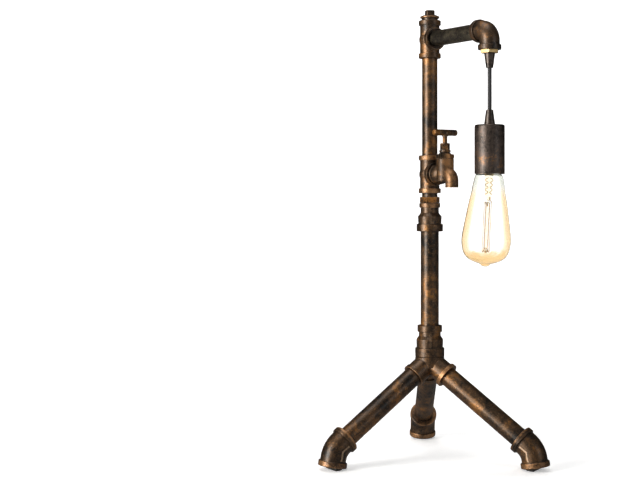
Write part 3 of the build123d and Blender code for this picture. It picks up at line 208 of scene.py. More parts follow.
class Finish:
    """A material and short ways to add nodes to it. A value that is a socket is linked, any other is set."""

    # Rays that look round a place for its creases and its edges
    RAYS = 6
    # Places of the colours among the mix node's sockets, which it has for each kind of value
    FIRST_COLOUR, SECOND_COLOUR, MIXED_COLOUR = 6, 7, 2

    def __init__(self, name):
        self.material = bpy.data.materials.new(name)
        self.material.use_nodes = True
        self.tree = self.material.node_tree
        self.shader = self.tree.nodes["Principled BSDF"]
        self.place = self.add("ShaderNodeTexCoord").outputs["Object"]

    def add(self, kind, inputs=(), **settings):
        """New node with its settings made and its inputs linked or set, by name or by place."""
        node = self.tree.nodes.new(kind)
        for name, value in settings.items():
            setattr(node, name, value)
        for name, value in dict(inputs).items():
            self.put(node.inputs[name], value)
        return node

    def put(self, socket, value):
        """Links or sets one input. A colour of three numbers is made opaque."""
        if isinstance(value, bpy.types.NodeSocket):
            self.tree.links.new(value, socket)
        elif hasattr(socket.default_value, "__len__") and len(socket.default_value) == 4 and len(value) == 3:
            socket.default_value = (*value, 1)
        else:
            socket.default_value = value

    def shade(self, **inputs):
        """Sets the shader's sockets, named as on the shader but with underscores."""
        for name, value in inputs.items():
            self.put(self.shader.inputs[name.replace("_", " ")], value)
        return self.material

    def noise(self, width, detail=4.0, roughness=0.55, distortion=0.0, stretch=None):
        """Noise whose patches are about a width across, from 0 to 1."""
        place = self.place
        if stretch:
            place = self.add("ShaderNodeMapping", {"Vector": place, "Scale": stretch}).outputs["Vector"]
        return self.add("ShaderNodeTexNoise", {
            "Vector": place, "Scale": 1 / width, "Detail": detail, "Roughness": roughness,
            "Distortion": distortion}).outputs["Fac"]

    def ramp(self, value, low, high, out_low=0.0, out_high=1.0):
        """A value spread from one range to another, smoothly and with its ends held."""
        return self.add("ShaderNodeMapRange", {
            "Value": value, "From Min": low, "From Max": high, "To Min": out_low, "To Max": out_high},
            interpolation_type="SMOOTHSTEP").outputs["Result"]

    def wander(self, noise, low, high):
        """A value that wanders between two limits with a noise."""
        return self.ramp(noise, 0.3, 0.7, low, high)

    def math(self, operation, first, second=0.0):
        """Result of one operation on one or two values."""
        return self.add("ShaderNodeMath", {0: first, 1: second}, operation=operation).outputs["Value"]

    def times(self, first, second):
        """Product of two values."""
        return self.math("MULTIPLY", first, second)

    def largest(self, values):
        """Greatest of several values that aren't below 0, or 0 where there are none."""
        most = 0.0
        for value in values:
            most = self.math("MAXIMUM", most, value)
        return most

    def shares(self, *parts):
        """Sum of values, each times its share."""
        total, *rest = [self.times(value, share) for value, share in parts]
        for part in rest:
            total = self.math("ADD", total, part)
        return total

    def dot(self, first, second):
        """Dot product of two vectors."""
        return self.add("ShaderNodeVectorMath", {0: first, 1: second},
                        operation="DOT_PRODUCT").outputs["Value"]

    def mix(self, factor, first, second):
        """Colour between two colours."""
        return self.add("ShaderNodeMix", {
            "Factor": factor, self.FIRST_COLOUR: first, self.SECOND_COLOUR: second},
            data_type="RGBA").outputs[self.MIXED_COLOUR]

    def bump(self, height, distance, strength=1.0):
        """Surface normal raised by a height from 0 to 1 over a distance in metres."""
        return self.add("ShaderNodeBump", {
            "Height": height, "Distance": distance, "Strength": strength}).outputs["Normal"]

    def along(self, direction):
        """Distance along a direction."""
        return self.dot(self.place, tuple(direction))

    def band(self, direction, low, high, soft):
        """1 between two distances along a direction and 0 outside them, with soft ends."""
        value = self.along(direction)
        return self.times(self.ramp(value, low - soft, low + soft),
                          self.ramp(value, high + soft, high - soft))

    def creases(self, reach):
        """How open a place is, from 0 deep in a crease to 1 on an open face."""
        return self.add("ShaderNodeAmbientOcclusion", {"Distance": reach}, samples=self.RAYS).outputs["AO"]

    def edges(self, reach):
        """How near a sharp edge is, from 0 on a flat face to 1 on the edge itself: how far the normal that
        is rounded over a reach turns from the true one."""
        rounded = self.add("ShaderNodeBevel", {"Radius": reach}, samples=self.RAYS).outputs["Normal"]
        true = self.add("ShaderNodeNewGeometry").outputs["Normal"]
        flat, sharp = 0.995, 0.80
        return self.ramp(self.dot(rounded, true), flat, sharp)


def rib_marks(finish):
    """1 on the ribs that are cast on both sides of the foot elbows, and 0 elsewhere: a rib is whatever
    stands out sideways past an elbow's round body, between its two collars."""
    body, collar, soft = 17.4 * MM, 7.6 * MM, 0.15 * MM
    marks = []
    for side in SIDES:
        elbow = "foot_elbow_" + side
        pipe, mouth = leg_directions(side)
        across = np.cross(UP, pipe) / math.hypot(pipe[0], pipe[1])
        plane = sum(span(elbow, across)) / 2
        out = finish.math("ABSOLUTE", finish.math("SUBTRACT", finish.along(across), plane))
        top, lip = span(elbow, pipe)[0] + collar, span(elbow, mouth)[1] - collar
        below_top = finish.ramp(finish.along(pipe), top - soft, top + soft)
        above_lip = finish.ramp(finish.along(mouth), lip + soft, lip - soft)
        past_body = finish.ramp(out, body - soft, body + soft)
        marks.append(finish.times(past_body, finish.times(below_top, above_lip)))
    return finish.largest(marks)


def bronze(name, settings, patches, wear, rough=0.42, body=None, coat=0.55, bands=(), ribs=0.0):
    """Aged bronze: a near-black brown with broad brown clouds and a fine mottle, copper where it is rubbed,
    pale flecks and worn edges, under a thin lacquer, and painted shade in its creases. Its tone is the sum
    of clouds, mottle and grit, each times its share, and as the tone rises the colour goes from the shade to
    the body and on to copper. Patches, wear and ribs, each from 0 to 1, say how far the copper spreads, how
    worn the edges are and how strong the pale wear and painted highlight on the cast ribs are."""
    grit_width, speckle_width, crease_shade_reach, relief = 2.2 * MM, 1.0 * MM, 6 * MM, 0.6 * MM
    finish = Finish(name)
    clouds = finish.noise(3.2 * settings.patch, detail=3)
    mottle = finish.noise(0.8 * settings.patch, detail=6, roughness=0.62, distortion=0.25)
    grit = finish.noise(grit_width, detail=5, roughness=0.7)
    speckle = finish.noise(speckle_width, detail=3, roughness=0.7)
    tone = finish.shares((clouds, 0.50), (mottle, 0.20), (grit, 0.30))
    colour = finish.mix(finish.ramp(tone, 0.38, 0.58), settings.shade, body or settings.body)

    wider = 0.14 * patches
    copper = finish.times(finish.ramp(tone, 0.60 - wider, 0.74 - wider), 0.8)
    colour = finish.mix(copper, colour, settings.copper)
    flecks = finish.times(finish.ramp(speckle, 0.58, 0.72), finish.ramp(grit, 0.44, 0.62))
    colour = finish.mix(finish.times(flecks, 0.7), colour, settings.wear)
    edge = finish.times(finish.edges(settings.edge), finish.ramp(mottle, 0.34, 0.60, 0.25, 1.0))
    colour = finish.mix(finish.times(edge, wear), colour, settings.wear)
    banded = finish.largest([finish.band(*band) for band in bands])
    rubbed = finish.times(banded, finish.ramp(tone, 0.38, 0.60, 0.12, 0.85))
    colour = finish.mix(rubbed, colour, settings.rubbed)
    # Painted shade: deep in creases and between parts the colour goes to the darkest bronze tone.
    colour = finish.mix(finish.ramp(finish.creases(crease_shade_reach), 0.3, 0.85), settings.shade, colour)
    # Pale wear and painted highlight on the cast ribs, in the worn-edge colour, broken up by the grit.
    if ribs:
        worn = finish.times(rib_marks(finish), finish.ramp(grit, 0.38, 0.62, 0.45 * ribs, ribs))
        colour = finish.mix(worn, colour, settings.wear)

    height = finish.shares((grit, 0.45), (mottle, 0.55))
    return finish.shade(
        Base_Color=colour, Metallic=0.92, Roughness=finish.wander(grit, rough - 0.08, rough + 0.14),
        Normal=finish.bump(height, relief), Specular_Tint=settings.rim, Coat_Weight=coat,
        Coat_Roughness=0.34, Coat_IOR=1.55, Coat_Tint=(1.0, 0.95, 0.86))


def polished_brass(settings):
    """Bright brass, turned, with a little cloudiness."""
    tarnish, bright = (0.46, 0.29, 0.11), (0.80, 0.62, 0.36)
    finish = Finish("polished_brass")
    cloud = finish.noise(6 * MM, detail=4)
    turning = finish.noise(0.5 * MM, detail=2, stretch=(1, 1, 6))
    colour = finish.mix(finish.ramp(cloud, 0.4, 0.75), settings.brass, tarnish)
    colour = finish.mix(finish.edges(0.5 * MM), colour, bright)
    return finish.shade(Base_Color=colour, Metallic=1.0, Roughness=finish.wander(turning, 0.36, 0.5),
                        Normal=finish.bump(turning, 0.02 * MM))


def plain_brass():
    """Stamped brass of the inner fittings, a little tarnished."""
    brass, tarnish = (0.70, 0.52, 0.24), (0.40, 0.27, 0.11)
    finish = Finish("plain_brass")
    cloud = finish.noise(4 * MM, detail=5)
    return finish.shade(Base_Color=finish.mix(finish.ramp(cloud, 0.4, 0.7), brass, tarnish), Metallic=1.0,
                        Roughness=finish.wander(cloud, 0.25, 0.45))


def rubber():
    """Matt black rubber with a dusty grain."""
    black, dusty = (0.022, 0.020, 0.018), (0.055, 0.050, 0.045)
    finish = Finish("black_rubber")
    dust = finish.noise(3 * MM, detail=6)
    return finish.shade(Base_Color=finish.mix(finish.ramp(dust, 0.45, 0.75), black, dusty),
                        Roughness=finish.wander(dust, 0.75, 0.9),
                        Normal=finish.bump(finish.noise(0.6 * MM), 0.08 * MM))


def cord_jacket():
    """Black jacket of the cords, faintly satin, with a grain along the hanging cord."""
    black, satin = (0.014, 0.014, 0.016), (0.035, 0.034, 0.036)
    finish = Finish("black_cord")
    grain = finish.noise(0.8 * MM, detail=3, stretch=(1, 1, 0.2))
    return finish.shade(Base_Color=finish.mix(finish.ramp(grain, 0.35, 0.7), black, satin),
                        Roughness=finish.wander(grain, 0.42, 0.58), Normal=finish.bump(grain, 0.05 * MM))


def porcelain():
    """Glazed porcelain of the lampholder."""
    white, cream = (0.80, 0.78, 0.73), (0.70, 0.67, 0.60)
    finish = Finish("porcelain")
    cloud = finish.noise(10 * MM, detail=4)
    return finish.shade(Base_Color=finish.mix(finish.ramp(cloud, 0.4, 0.7), white, cream),
                        Roughness=finish.wander(cloud, 0.18, 0.3), Coat_Weight=0.5, Coat_Roughness=0.1)


def plain(name, colour, rough, metal=0.0):
    """Plain small inner piece with a little unevenness."""
    finish = Finish(name)
    cloud = finish.noise(3 * MM, detail=5)
    darker = [0.6 * c for c in colour]
    return finish.shade(Base_Color=finish.mix(finish.ramp(cloud, 0.4, 0.75), colour, darker), Metallic=metal,
                        Roughness=finish.wander(cloud, rough - 0.08, rough + 0.1))


def amber_glass(settings):
    """Thin glass with an amber tint, which shows most where the wall is seen on edge and towards the round
    end, and with painted grey shade on its shoulder, near the cover, strongest where the wall is seen on
    edge."""
    # grey is the colour of the painted shade on the shoulder.
    clear, grey = (0.975, 0.975, 0.965), (0.66, 0.70, 0.66)
    bottom = COVER_RIM - 119 * MM
    finish = Finish("amber_glass")
    facing = finish.add("ShaderNodeLayerWeight", {"Blend": 0.5}).outputs["Facing"]
    height = finish.add("ShaderNodeSeparateXYZ", {"Vector": finish.place}).outputs["Z"]
    uneven = finish.math("ADD", height, finish.wander(finish.noise(12 * MM, detail=3), -4 * MM, 4 * MM))
    round_end = finish.ramp(uneven, bottom + 22 * MM, bottom + 13 * MM)
    shoulder = finish.ramp(height, COVER_RIM - 36 * MM, COVER_RIM - 8 * MM)
    side = finish.times(finish.ramp(facing, 0.17, 0.45), finish.ramp(shoulder, 0, 1, 1.0, 0.35))
    amber = finish.math("MAXIMUM", side, finish.times(round_end, 0.9))
    colour = finish.mix(amber, clear, settings.tint)
    # Painted shade: grey on the shoulder near the cover, strongest where the wall is seen on edge.
    painted_shoulder_shade = finish.times(shoulder, finish.ramp(facing, 0.12, 0.5, 0.04, 0.85))
    colour = finish.mix(painted_shoulder_shade, colour, grey)
    return finish.shade(Base_Color=colour, Transmission_Weight=1.0, IOR=1.3, Roughness=0.015,
                        Normal=finish.bump(finish.noise(20 * MM, detail=2), 0.4 * MM, 0.3))


def clear_glass():
    """Clear glass of the stem, a little milky."""
    clear, milky = (1.0, 0.96, 0.84), (0.97, 0.88, 0.66)
    finish = Finish("clear_glass")
    cloud = finish.noise(4 * MM, detail=3)
    return finish.shade(Base_Color=finish.mix(cloud, clear, milky), Transmission_Weight=0.97, IOR=1.12,
                        Roughness=finish.wander(cloud, 0.03, 0.12))


def filament_metal(name, colour):
    """Heat-browned wire."""
    finish = Finish(name)
    cloud = finish.noise(2 * MM, detail=3)
    darker = [0.5 * c for c in colour]
    return finish.shade(Base_Color=finish.mix(cloud, colour, darker), Specular_IOR_Level=0.1,
                        Roughness=finish.wander(cloud, 0.6, 0.8))


def pale_paper():
    """White paper of the backdrop. It glows, least round the lamp and more with the distance from it, so
    that it looks white all over but for the lamp's own shadow."""
    pale, paler = (0.93, 0.93, 0.93), (0.95, 0.95, 0.95)
    finish = Finish("pale_paper")
    away = finish.add("ShaderNodeVectorMath", {0: finish.place}, operation="LENGTH").outputs["Value"]
    near, far = finish.ramp(away, 0.2, 2.6, 0.38, 0.80), finish.ramp(away, 2.8, 6.0, 0, 0.4)
    return finish.shade(Base_Color=finish.mix(finish.noise(0.4, detail=2), pale, paler), Roughness=0.9,
                        Emission_Color=(1, 1, 1), Emission_Strength=finish.math("ADD", near, far))


# ---- Meshes ----

def make_mesh(name, points, faces, material):
    """New object at the origin from points and faces, with its faces turned outward: the volume under the
    faces, a sixth of the sum of a . (b x c) over their triangles, has to come out positive."""
    triangles = [face[:3] for face in faces] + [(face[0], *face[2:]) for face in faces if len(face) == 4]
    corners = points[np.array(triangles)]
    volume = np.einsum("ij,ij", corners[:, 0], np.cross(corners[:, 1], corners[:, 2])) / 6
    mesh = bpy.data.meshes.new(name)
    mesh.from_pydata(points.tolist(), [], [face[::-1] for face in faces] if volume < 0 else faces)
    mesh.polygons.foreach_set("use_smooth", np.ones(len(mesh.polygons), dtype=bool))
    mesh.update()
    made = bpy.data.objects.new(name, mesh)
    bpy.context.collection.objects.link(made)
    made.data.materials.append(material)
    return made


def grid_faces(rows, columns, closed_rows=False, closed_columns=True, start=0):
    """Faces of a grid of points stored row by row, joined round where a direction is closed."""
    row = np.arange(rows if closed_rows else rows - 1)
    column = np.arange(columns if closed_columns else columns - 1)
    r, c = np.meshgrid(row, column, indexing="ij")
    next_r, next_c = (r + 1) % rows, (c + 1) % columns
    corners = (r * columns + c, r * columns + next_c, next_r * columns + next_c, next_r * columns + c)
    return (start + np.stack([corner.ravel() for corner in corners], axis=1)).tolist()


def fan_faces(first, around, tip, reverse=False):
    """Triangles from a ring of points, whose first index is given, to one tip."""
    k = np.arange(around)
    faces = np.stack([first + k, first + (k + 1) % around, np.full(around, tip)], axis=1)
    return (faces[:, ::-1] if reverse else faces).tolist()


def axis_frame(axis):
    """Three unit vectors square to each other, the last along an axis."""
    z = np.array(axis, float) / np.linalg.norm(axis)
    x = np.cross((0, 1, 0), z)
    x /= np.linalg.norm(x)
    return x, np.cross(z, x), z


def lathe(name, origin, axis, outline, around, material, twist=None):
    """Surface of revolution. Each outline point (r, h) goes round the axis at
    origin + h * z + r * (cos a * x + sin a * y); twist, if given, adds to r a value worked out from h and a.
    An outline that starts and ends on the axis has a tip at each end, and any other is joined up as a
    ring."""
    x, y, z = axis_frame(axis)
    outline = np.array(outline, float)
    tips = outline[0, 0] == 0
    rows = outline[1:-1] if tips else outline
    angle = 2 * np.pi * np.arange(around) / around
    radius, height = (np.repeat(rows[:, k:k + 1], around, axis=1) for k in range(2))
    if twist is not None:
        radius = radius + twist(height, angle[None, :])
    ring = np.cos(angle)[None, :, None] * x + np.sin(angle)[None, :, None] * y
    points = (np.array(origin, float) + height[..., None] * z + radius[..., None] * ring).reshape(-1, 3)
    faces = grid_faces(len(rows), around, closed_rows=not tips)
    if tips:
        count = len(points)
        points = np.vstack([points, np.array(origin, float) + outline[[0, -1], 1][:, None] * z])
        faces += fan_faces(0, around, count, reverse=True) + fan_faces(count - around, around, count + 1)
    return make_mesh(name, points, faces, material)


def smooth_path(points, steps):
    """Curve through points by cubic pieces whose slope at each point is half the step between its
    neighbours."""
    p = np.array(points, float)
    ends = np.vstack([2 * p[0] - p[1], p, 2 * p[-1] - p[-2]])
    t = np.linspace(0, 1, steps, endpoint=False)[None, :, None]
    a, b, c, d = (ends[k:len(ends) - 3 + k][:, None, :] for k in range(4))
    square, cube = 2 * a - 5 * b + 4 * c - d, 3 * b - a - 3 * c + d
    curve = 0.5 * (2 * b + (c - a) * t + square * t ** 2 + cube * t ** 3)
    return np.vstack([curve.reshape(-1, 3), p[-1]])


def smooth_outline(widths, steps):
    """Outline in metres, carried smoothly through radii and heights in millimetres."""
    return smooth_path([(radius * MM, height * MM, 0) for radius, height in widths], steps)[:, :2]


def tubes(name, paths, radius, material, sides=8):
    """One object of several round tubes with closed ends. Each path point carries a ring of points a radius
    away, square to the path, turned as little as can be from the ring before; one more point closes each
    end."""
    # A direction that no path starts along
    first_side = (0.36, 0.48, 0.8)
    angle = 2 * np.pi * np.arange(sides)[:, None] / sides
    all_points, faces, start = [], [], 0
    for path in paths:
        along = np.gradient(path, axis=0)
        along /= np.linalg.norm(along, axis=1, keepdims=True)
        side = np.array(first_side)
        rings = []
        for place, direction in zip(path, along):
            side = side - direction * side.dot(direction)
            side /= np.linalg.norm(side)
            rings.append(place + radius * (np.cos(angle) * side + np.sin(angle) * np.cross(direction, side)))
        count = start + len(path) * sides
        faces += grid_faces(len(path), sides, start=start)
        faces += fan_faces(start, sides, count, reverse=True)
        faces += fan_faces(count - sides, sides, count + 1)
        all_points += [*rings, path[:1], path[-1:]]
        start = count + 2
    return make_mesh(name, np.vstack(all_points), faces, material)


def dress(nodes, material):
    """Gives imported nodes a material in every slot."""
    for name in nodes:
        node = frame["nodes"][name]
        if not node.material_slots:
            node.data.materials.append(material)
        for place in node.material_slots:
            place.material = material


# ---- Cord and metal ----

class LAMP_OT_cord(bpy.types.Operator):
    """Makes the straight cord that the lampholder hangs on, and finishes the cables inside"""

    bl_idname = "lamp.cord"
    bl_label = "Hanging cord"

    def execute(self, context):
        jacket = cord_jacket()
        curve = bpy.data.curves.new("hanging_cord", "CURVE")
        curve.dimensions = "3D"
        curve.bevel_depth = (CORD_HIGH.x - CORD_LOW.x) / 2
        curve.bevel_resolution = 8
        curve.use_fill_caps = True
        spline = curve.splines.new("NURBS")
        heights = (CORD_HIGH.z, DROP.z, CORD_LOW.z)
        spline.points.add(len(heights) - 1)
        for point, height in zip(spline.points, heights):
            point.co = (DROP.x, DROP.y, height, 1)
        spline.order_u = 3
        spline.use_endpoint_u = True
        cord = bpy.data.objects.new("hanging_cord", curve)
        context.collection.objects.link(cord)
        curve.materials.append(jacket)
        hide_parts("pendant_cord")
        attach(cord, "cord")
        dress(CABLES, jacket)
        return {"FINISHED"}


def rubbed_bands():
    """Bands of the castings that are rubbed to copper, each as a direction, two distances along it and a
    softness: the tap tee's two mouths, the upper reducer's upper one, the plug's flange, the feet's collars
    and lips, and the two front leg sockets."""
    mouth_band, collar_band, lip_band, soft = 6.7 * MM, 3 * MM, 7.3 * MM, 0.5 * MM
    flange_low, flange_high = 3 * MM, 5.6 * MM
    socket_bands = {"left": 1.0 * MM, "right": 5.5 * MM}
    low, high = span("tap_tee", UP)
    bands = [(UP, low, low + mouth_band, soft), (UP, high - mouth_band, high, soft)]
    high = span("upper_reducer", UP)[1]
    bands.append((UP, high - mouth_band, high, soft))
    high = span("arm_tee", UP)[1]
    bands.append((UP, high + flange_low, high + flange_high, soft))
    for side in SIDES:
        pipe, mouth = leg_directions(side)
        collar = span("foot_elbow_" + side, pipe)[0]
        lip = span("foot_elbow_" + side, mouth)[1]
        bands += [(pipe, collar, collar + collar_band, soft), (mouth, lip - lip_band, lip, soft)]
    for side, socket_band in socket_bands.items():
        pipe = leg_directions(side)[0]
        socket = span("leg_hub", pipe)[1]
        bands.append((pipe, socket - socket_band, socket, soft))
    return bands


class LAMP_OT_pipework(bpy.types.Operator):
    """Finishes the pipes and cast fittings in aged bronze"""

    bl_idname = "lamp.pipework"
    bl_label = "Pipework"

    def execute(self, context):
        settings = context.scene.lamp_finishes
        umber, olive, copper = (0.120, 0.074, 0.044), (0.145, 0.128, 0.092), (0.60, 0.26, 0.06)
        # The castings' cast ribs get pale wear and a painted highlight (ribs=0.6).
        dress(CASTINGS, bronze("cast_bronze", settings, patches=0.5, wear=0.7, bands=rubbed_bands(),
                               ribs=0.6))
        dress(PIPES, bronze("pipe_bronze", settings, patches=0.6, wear=0.35))
        dress(["drop_elbow"], bronze("elbow_bronze", settings, patches=0.3, wear=0.4, rough=0.48,
                                     body=umber))
        dress(["arm_pipe"], bronze("arm_bronze", settings, patches=0.2, wear=0.2, body=olive))
        dress(["lock_nut"], bronze("nut_bronze", settings, patches=1.0, wear=0.8, body=copper))
        return {"FINISHED"}


class LAMP_OT_tap(bpy.types.Operator):
    """Finishes the tap in rubbed bronze, with the end of its spout rubbed most, and the switch behind it"""

    bl_idname = "lamp.tap"
    bl_label = "Tap"

    def execute(self, context):
        settings = context.scene.lamp_finishes
        out = middle("tap_spindle") - POLE
        out = Vector((out.x, out.y, 0)).normalized()
        spout, beyond, soft = 45 * MM, 1.0, 3 * MM
        band = (out, POLE.dot(out) + spout, POLE.dot(out) + beyond, soft)
        dress(TAP_PARTS, bronze("tap_bronze", settings, patches=0.7, wear=0.9, rough=0.47, coat=0.35,
                                bands=[band]))
        dress(["rotary_switch"], plain("switch_plastic", (0.02, 0.02, 0.022), rough=0.5))
        return {"FINISHED"}


class LAMP_OT_pendant(bpy.types.Operator):
    """Finishes the bushing, the glands, the cover, the lampholder and the brass contacts"""

    bl_idname = "lamp.pendant"
    bl_label = "Pendant"

    def execute(self, context):
        settings = context.scene.lamp_finishes
        grey = (0.125, 0.098, 0.085)
        dress(["socket_cover"], bronze("cover_bronze", settings, patches=0.35, wear=0.5, rough=0.44,
                                       body=grey, coat=0.3))
        dress(GLANDS, bronze("gland_bronze", settings, patches=0.2, wear=0.5, rough=0.4, body=grey))
        dress(["brass_bushing"], polished_brass(settings))
        dress(BRASSES, plain_brass())
        dress(PORCELAINS, porcelain())
        dress(["holder_screws"], plain("zinc_steel", (0.6, 0.6, 0.62), rough=0.35, metal=1.0))
        return {"FINISHED"}


class LAMP_OT_feet(bpy.types.Operator):
    """Finishes the rubber plugs, the grommet and the spindle's seal"""

    bl_idname = "lamp.feet"
    bl_label = "Feet"

    def execute(self, context):
        dress(RUBBERS, rubber())
        return {"FINISHED"}


# ---- Bulb, measured from its seat ----

class LAMP_OT_bulb(bpy.types.Operator):
    """Makes the bulb's glass, threaded cap, stem, filament and wires"""

    bl_idname = "lamp.bulb"
    bl_label = "Bulb"

    def execute(self, context):
        settings = context.scene.lamp_bulb
        make_glass(settings)
        make_cap(settings)
        make_stem()
        make_filament(settings)
        make_supports(settings)
        dress(["cap_insulator"], plain("black_glass", (0.015, 0.014, 0.02), rough=0.15))
        return {"FINISHED"}


def on_bulb(radius, angle, height):
    """Point seat + r * (cos a * x + sin a * y) + h * z, where z is the bulb's own axis."""
    x, y, z = axis_frame(BULB_AXIS)
    return BULB_SEAT + radius * (math.cos(angle) * x + math.sin(angle) * y) + height * z


def make_glass(settings):
    """Pear-shaped glass: an outline through a few widths of the bulb, carried smoothly, and an inner wall
    that runs a wall's thickness inside it, square to its slope."""
    widths = [
        (12.6, 14), (12.6, 6), (13.4, 2.8), (15.2, 0.6), (17.4, -1.6), (18.8, -5.4), (20.6, -14),
        (22.1, -24), (24.2, -34.5), (26.1, -44.5), (27.6, -54), (29.4, -65), (31.0, -75.5), (31.9, -84.5),
        (31.5, -92.5), (29.6, -101), (25.8, -107.6), (20.4, -111.8), (14.0, -114.6), (8.6, -116.2),
        (6.4, -117.4), (4.8, -119.0), (2.6, -119.9), (0, -120.1),
    ]
    outer = smooth_outline(widths, steps=6)
    slope = np.gradient(outer, axis=0)
    slope /= np.linalg.norm(slope, axis=1, keepdims=True)
    inner = outer + settings.wall * np.stack([slope[:, 1], -slope[:, 0]], axis=1)
    inner = inner[inner[:, 0] > settings.wall]
    inner = np.vstack([inner, (0, inner[-1, 1])])
    outline = np.vstack([outer[::-1], inner])
    glass = lathe("bulb_envelope", BULB_SEAT, BULB_AXIS, outline, settings.facets, amber_glass(settings))
    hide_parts("bulb_glass")
    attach(glass, "bulb")


def make_cap(settings):
    """Screw cap: a thin shell whose outside has a cosine wave of the thread's pitch, turned once each pitch
    and fading out towards both ends."""
    radius, pitch, depth = 13.15 * MM, 3.4 * MM, 0.8 * MM
    low, high, fade_length = 2.0 * MM, 21.0 * MM, 2 * MM
    thread_low, thread_high, rows = low + 2 * MM, high - 1.5 * MM, 96
    hole, bore = 9.5 * MM, 11.8 * MM
    outline = np.vstack([
        np.stack([np.full(rows, radius), np.linspace(low, high, rows)], axis=1),
        [(12.0 * MM, high), (10.5 * MM, high), (hole, high + 0.01 * MM)],
        [(hole, high - 0.4 * MM), (11.6 * MM, high - 0.5 * MM), (bore, high - 2 * MM), (bore, low)],
    ])

    def thread(height, angle):
        wave = 0.5 - 0.5 * np.cos(2 * np.pi * height / pitch - angle)
        fade = (np.clip((height - thread_low) / fade_length, 0, 1)
                * np.clip((thread_high - height) / fade_length, 0, 1))
        outside = np.arange(len(outline))[:, None] < rows
        return np.where(outside, -depth * wave * fade, 0.0)

    cap = lathe("bulb_screw_cap", BULB_SEAT, BULB_AXIS, outline, settings.facets, plain_brass(),
                twist=thread)
    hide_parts("bulb_cap")
    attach(cap, "bulb")


def make_stem():
    """Flared glass stem and the thin rod with a bead at its end that goes on down from it."""
    widths = [
        (0, 7.4), (10.6, 7.4), (11.4, 6.7), (10.7, 5.4), (8.0, 3.4), (6.1, 0.8), (5.2, -4), (4.8, -12),
        (4.5, -20), (4.3, -27), (3.6, -31.2), (2.2, -33.0), (1.2, -34.2), (1.0, -40), (1.0, -98),
        (1.3, -99.5), (0.8, -101), (0, -101.3),
    ]
    outline = smooth_outline(widths, steps=4)
    stem = lathe("bulb_stem_glass", BULB_SEAT, BULB_AXIS, outline, around=48, material=clear_glass())
    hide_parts("bulb_stem")
    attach(stem, "bulb")


# The filament's runs: how many, their upper and lower ends and their distance from the bulb's axis
RUNS, RUN_TOP, RUN_FOOT, RUN_REACH = 6, -37.5 * MM, -100 * MM, 4.6 * MM


def make_filament(settings):
    """Filament that goes up and down round the stem's rod in runs, evenly spaced round the bulb's axis."""
    run_points = 9
    route = []
    for run in range(RUNS):
        angle = 2 * math.pi * run / RUNS
        ends = (RUN_TOP, RUN_FOOT) if run % 2 == 0 else (RUN_FOOT, RUN_TOP)
        route += [on_bulb(RUN_REACH, angle, height) for height in np.linspace(*ends, run_points)]
    filament = tubes("bulb_filament", [smooth_path(route, steps=5)], settings.wire,
                     filament_metal("filament_wire", (0.82, 0.50, 0.15)))
    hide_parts("filament")
    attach(filament, "bulb")


def make_supports(settings):
    """Wires that hold the filament: a hook where two runs meet, a tail where the first and the last run end,
    and two lead-in wires that go down the front of the stem in kinks, each between two angles from its
    middle."""
    wires = []
    for turn in range(RUNS - 1):
        angle = 2 * math.pi * (turn + 0.5) / RUNS
        end, rise = (RUN_FOOT, 2.2 * MM) if turn % 2 == 0 else (RUN_TOP, -2.2 * MM)
        hook = [(0.8 * MM, end + 2 * rise), (2.2 * MM, end + rise), (3.6 * MM, end - 0.4 * rise),
                (4.5 * MM, end - 0.6 * rise), (4.9 * MM, end - 0.1 * rise)]
        wires.append(smooth_path([on_bulb(radius, angle, height) for radius, height in hook], steps=5))
    for run in (0, RUNS - 1):
        angle = 2 * math.pi * run / RUNS
        tail = [(RUN_REACH, RUN_TOP + 0.2 * MM), (4.4 * MM, RUN_TOP + 2 * MM), (2.6 * MM, RUN_TOP + 5 * MM),
                (2.2 * MM, RUN_TOP + 8 * MM)]
        wires.append(smooth_path([on_bulb(radius, angle, height) for radius, height in tail], steps=5))
    kink_count, kink_angles = 8, (math.radians(12), math.radians(62))
    for hand in (-1, 1):
        kinks = [((6.2 - 0.12 * k) * MM, FRONT_ANGLE + hand * kink_angles[k % 2], (-5 - 3.1 * k) * MM)
                 for k in range(kink_count)]
        wires.append(smooth_path([on_bulb(*kink) for kink in kinks], steps=6))
    supports = tubes("bulb_support_wires", wires, 1.2 * settings.wire,
                     filament_metal("support_wire", (0.56, 0.33, 0.09)))
    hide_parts("support_wires")
    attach(supports, "bulb")


# ---- Stage ----

class LAMP_OT_stage(bpy.types.Operator):
    """Makes the floor, the camera, the lights and the surround"""

    bl_idname = "lamp.stage"
    bl_label = "Stage"

    def execute(self, context):
        settings = context.scene.lamp_stage
        make_floor()
        make_camera(context, settings)
        make_lights(context, settings)
        make_surround(context)
        context.scene.view_settings.view_transform = "Standard"
        return {"FINISHED"}


def make_floor():
    """Pale floor that curves up into a backdrop far behind: a straight run, a quarter circle and a wall."""
    half, front, back, sweep, top = 6.0, -6.0, 2.6, 1.4, 5.0
    angle = np.linspace(0, np.pi / 2, 24)
    profile = np.vstack([
        [(front, 0)],
        np.stack([back - sweep + sweep * np.sin(angle), sweep - sweep * np.cos(angle)], axis=1),
        [(back, top)],
    ])
    points = np.array([(x, y, z) for y, z in profile for x in (half, -half)])
    floor = make_mesh("backdrop", points, grid_faces(len(profile), 2, closed_columns=False), pale_paper())
    floor.visible_glossy = False


def make_camera(context, settings):
    """Level camera on the view's side of the pole, turned a little to the left of it."""
    view, turned, horizon_px, frame_px = math.radians(-4), math.radians(4.76), 45, 640
    lens = bpy.data.cameras.new("camera")
    lens.lens = settings.lens
    lens.sensor_width = 36
    lens.shift_y = -horizon_px / frame_px
    lens.clip_end = 50
    camera = bpy.data.objects.new("camera", lens)
    camera.location = (
        POLE.x + settings.distance * math.sin(view), POLE.y - settings.distance * math.cos(view),
        settings.height)
    camera.rotation_euler = (math.pi / 2, 0, view + turned)
    context.collection.objects.link(camera)
    context.scene.camera = camera


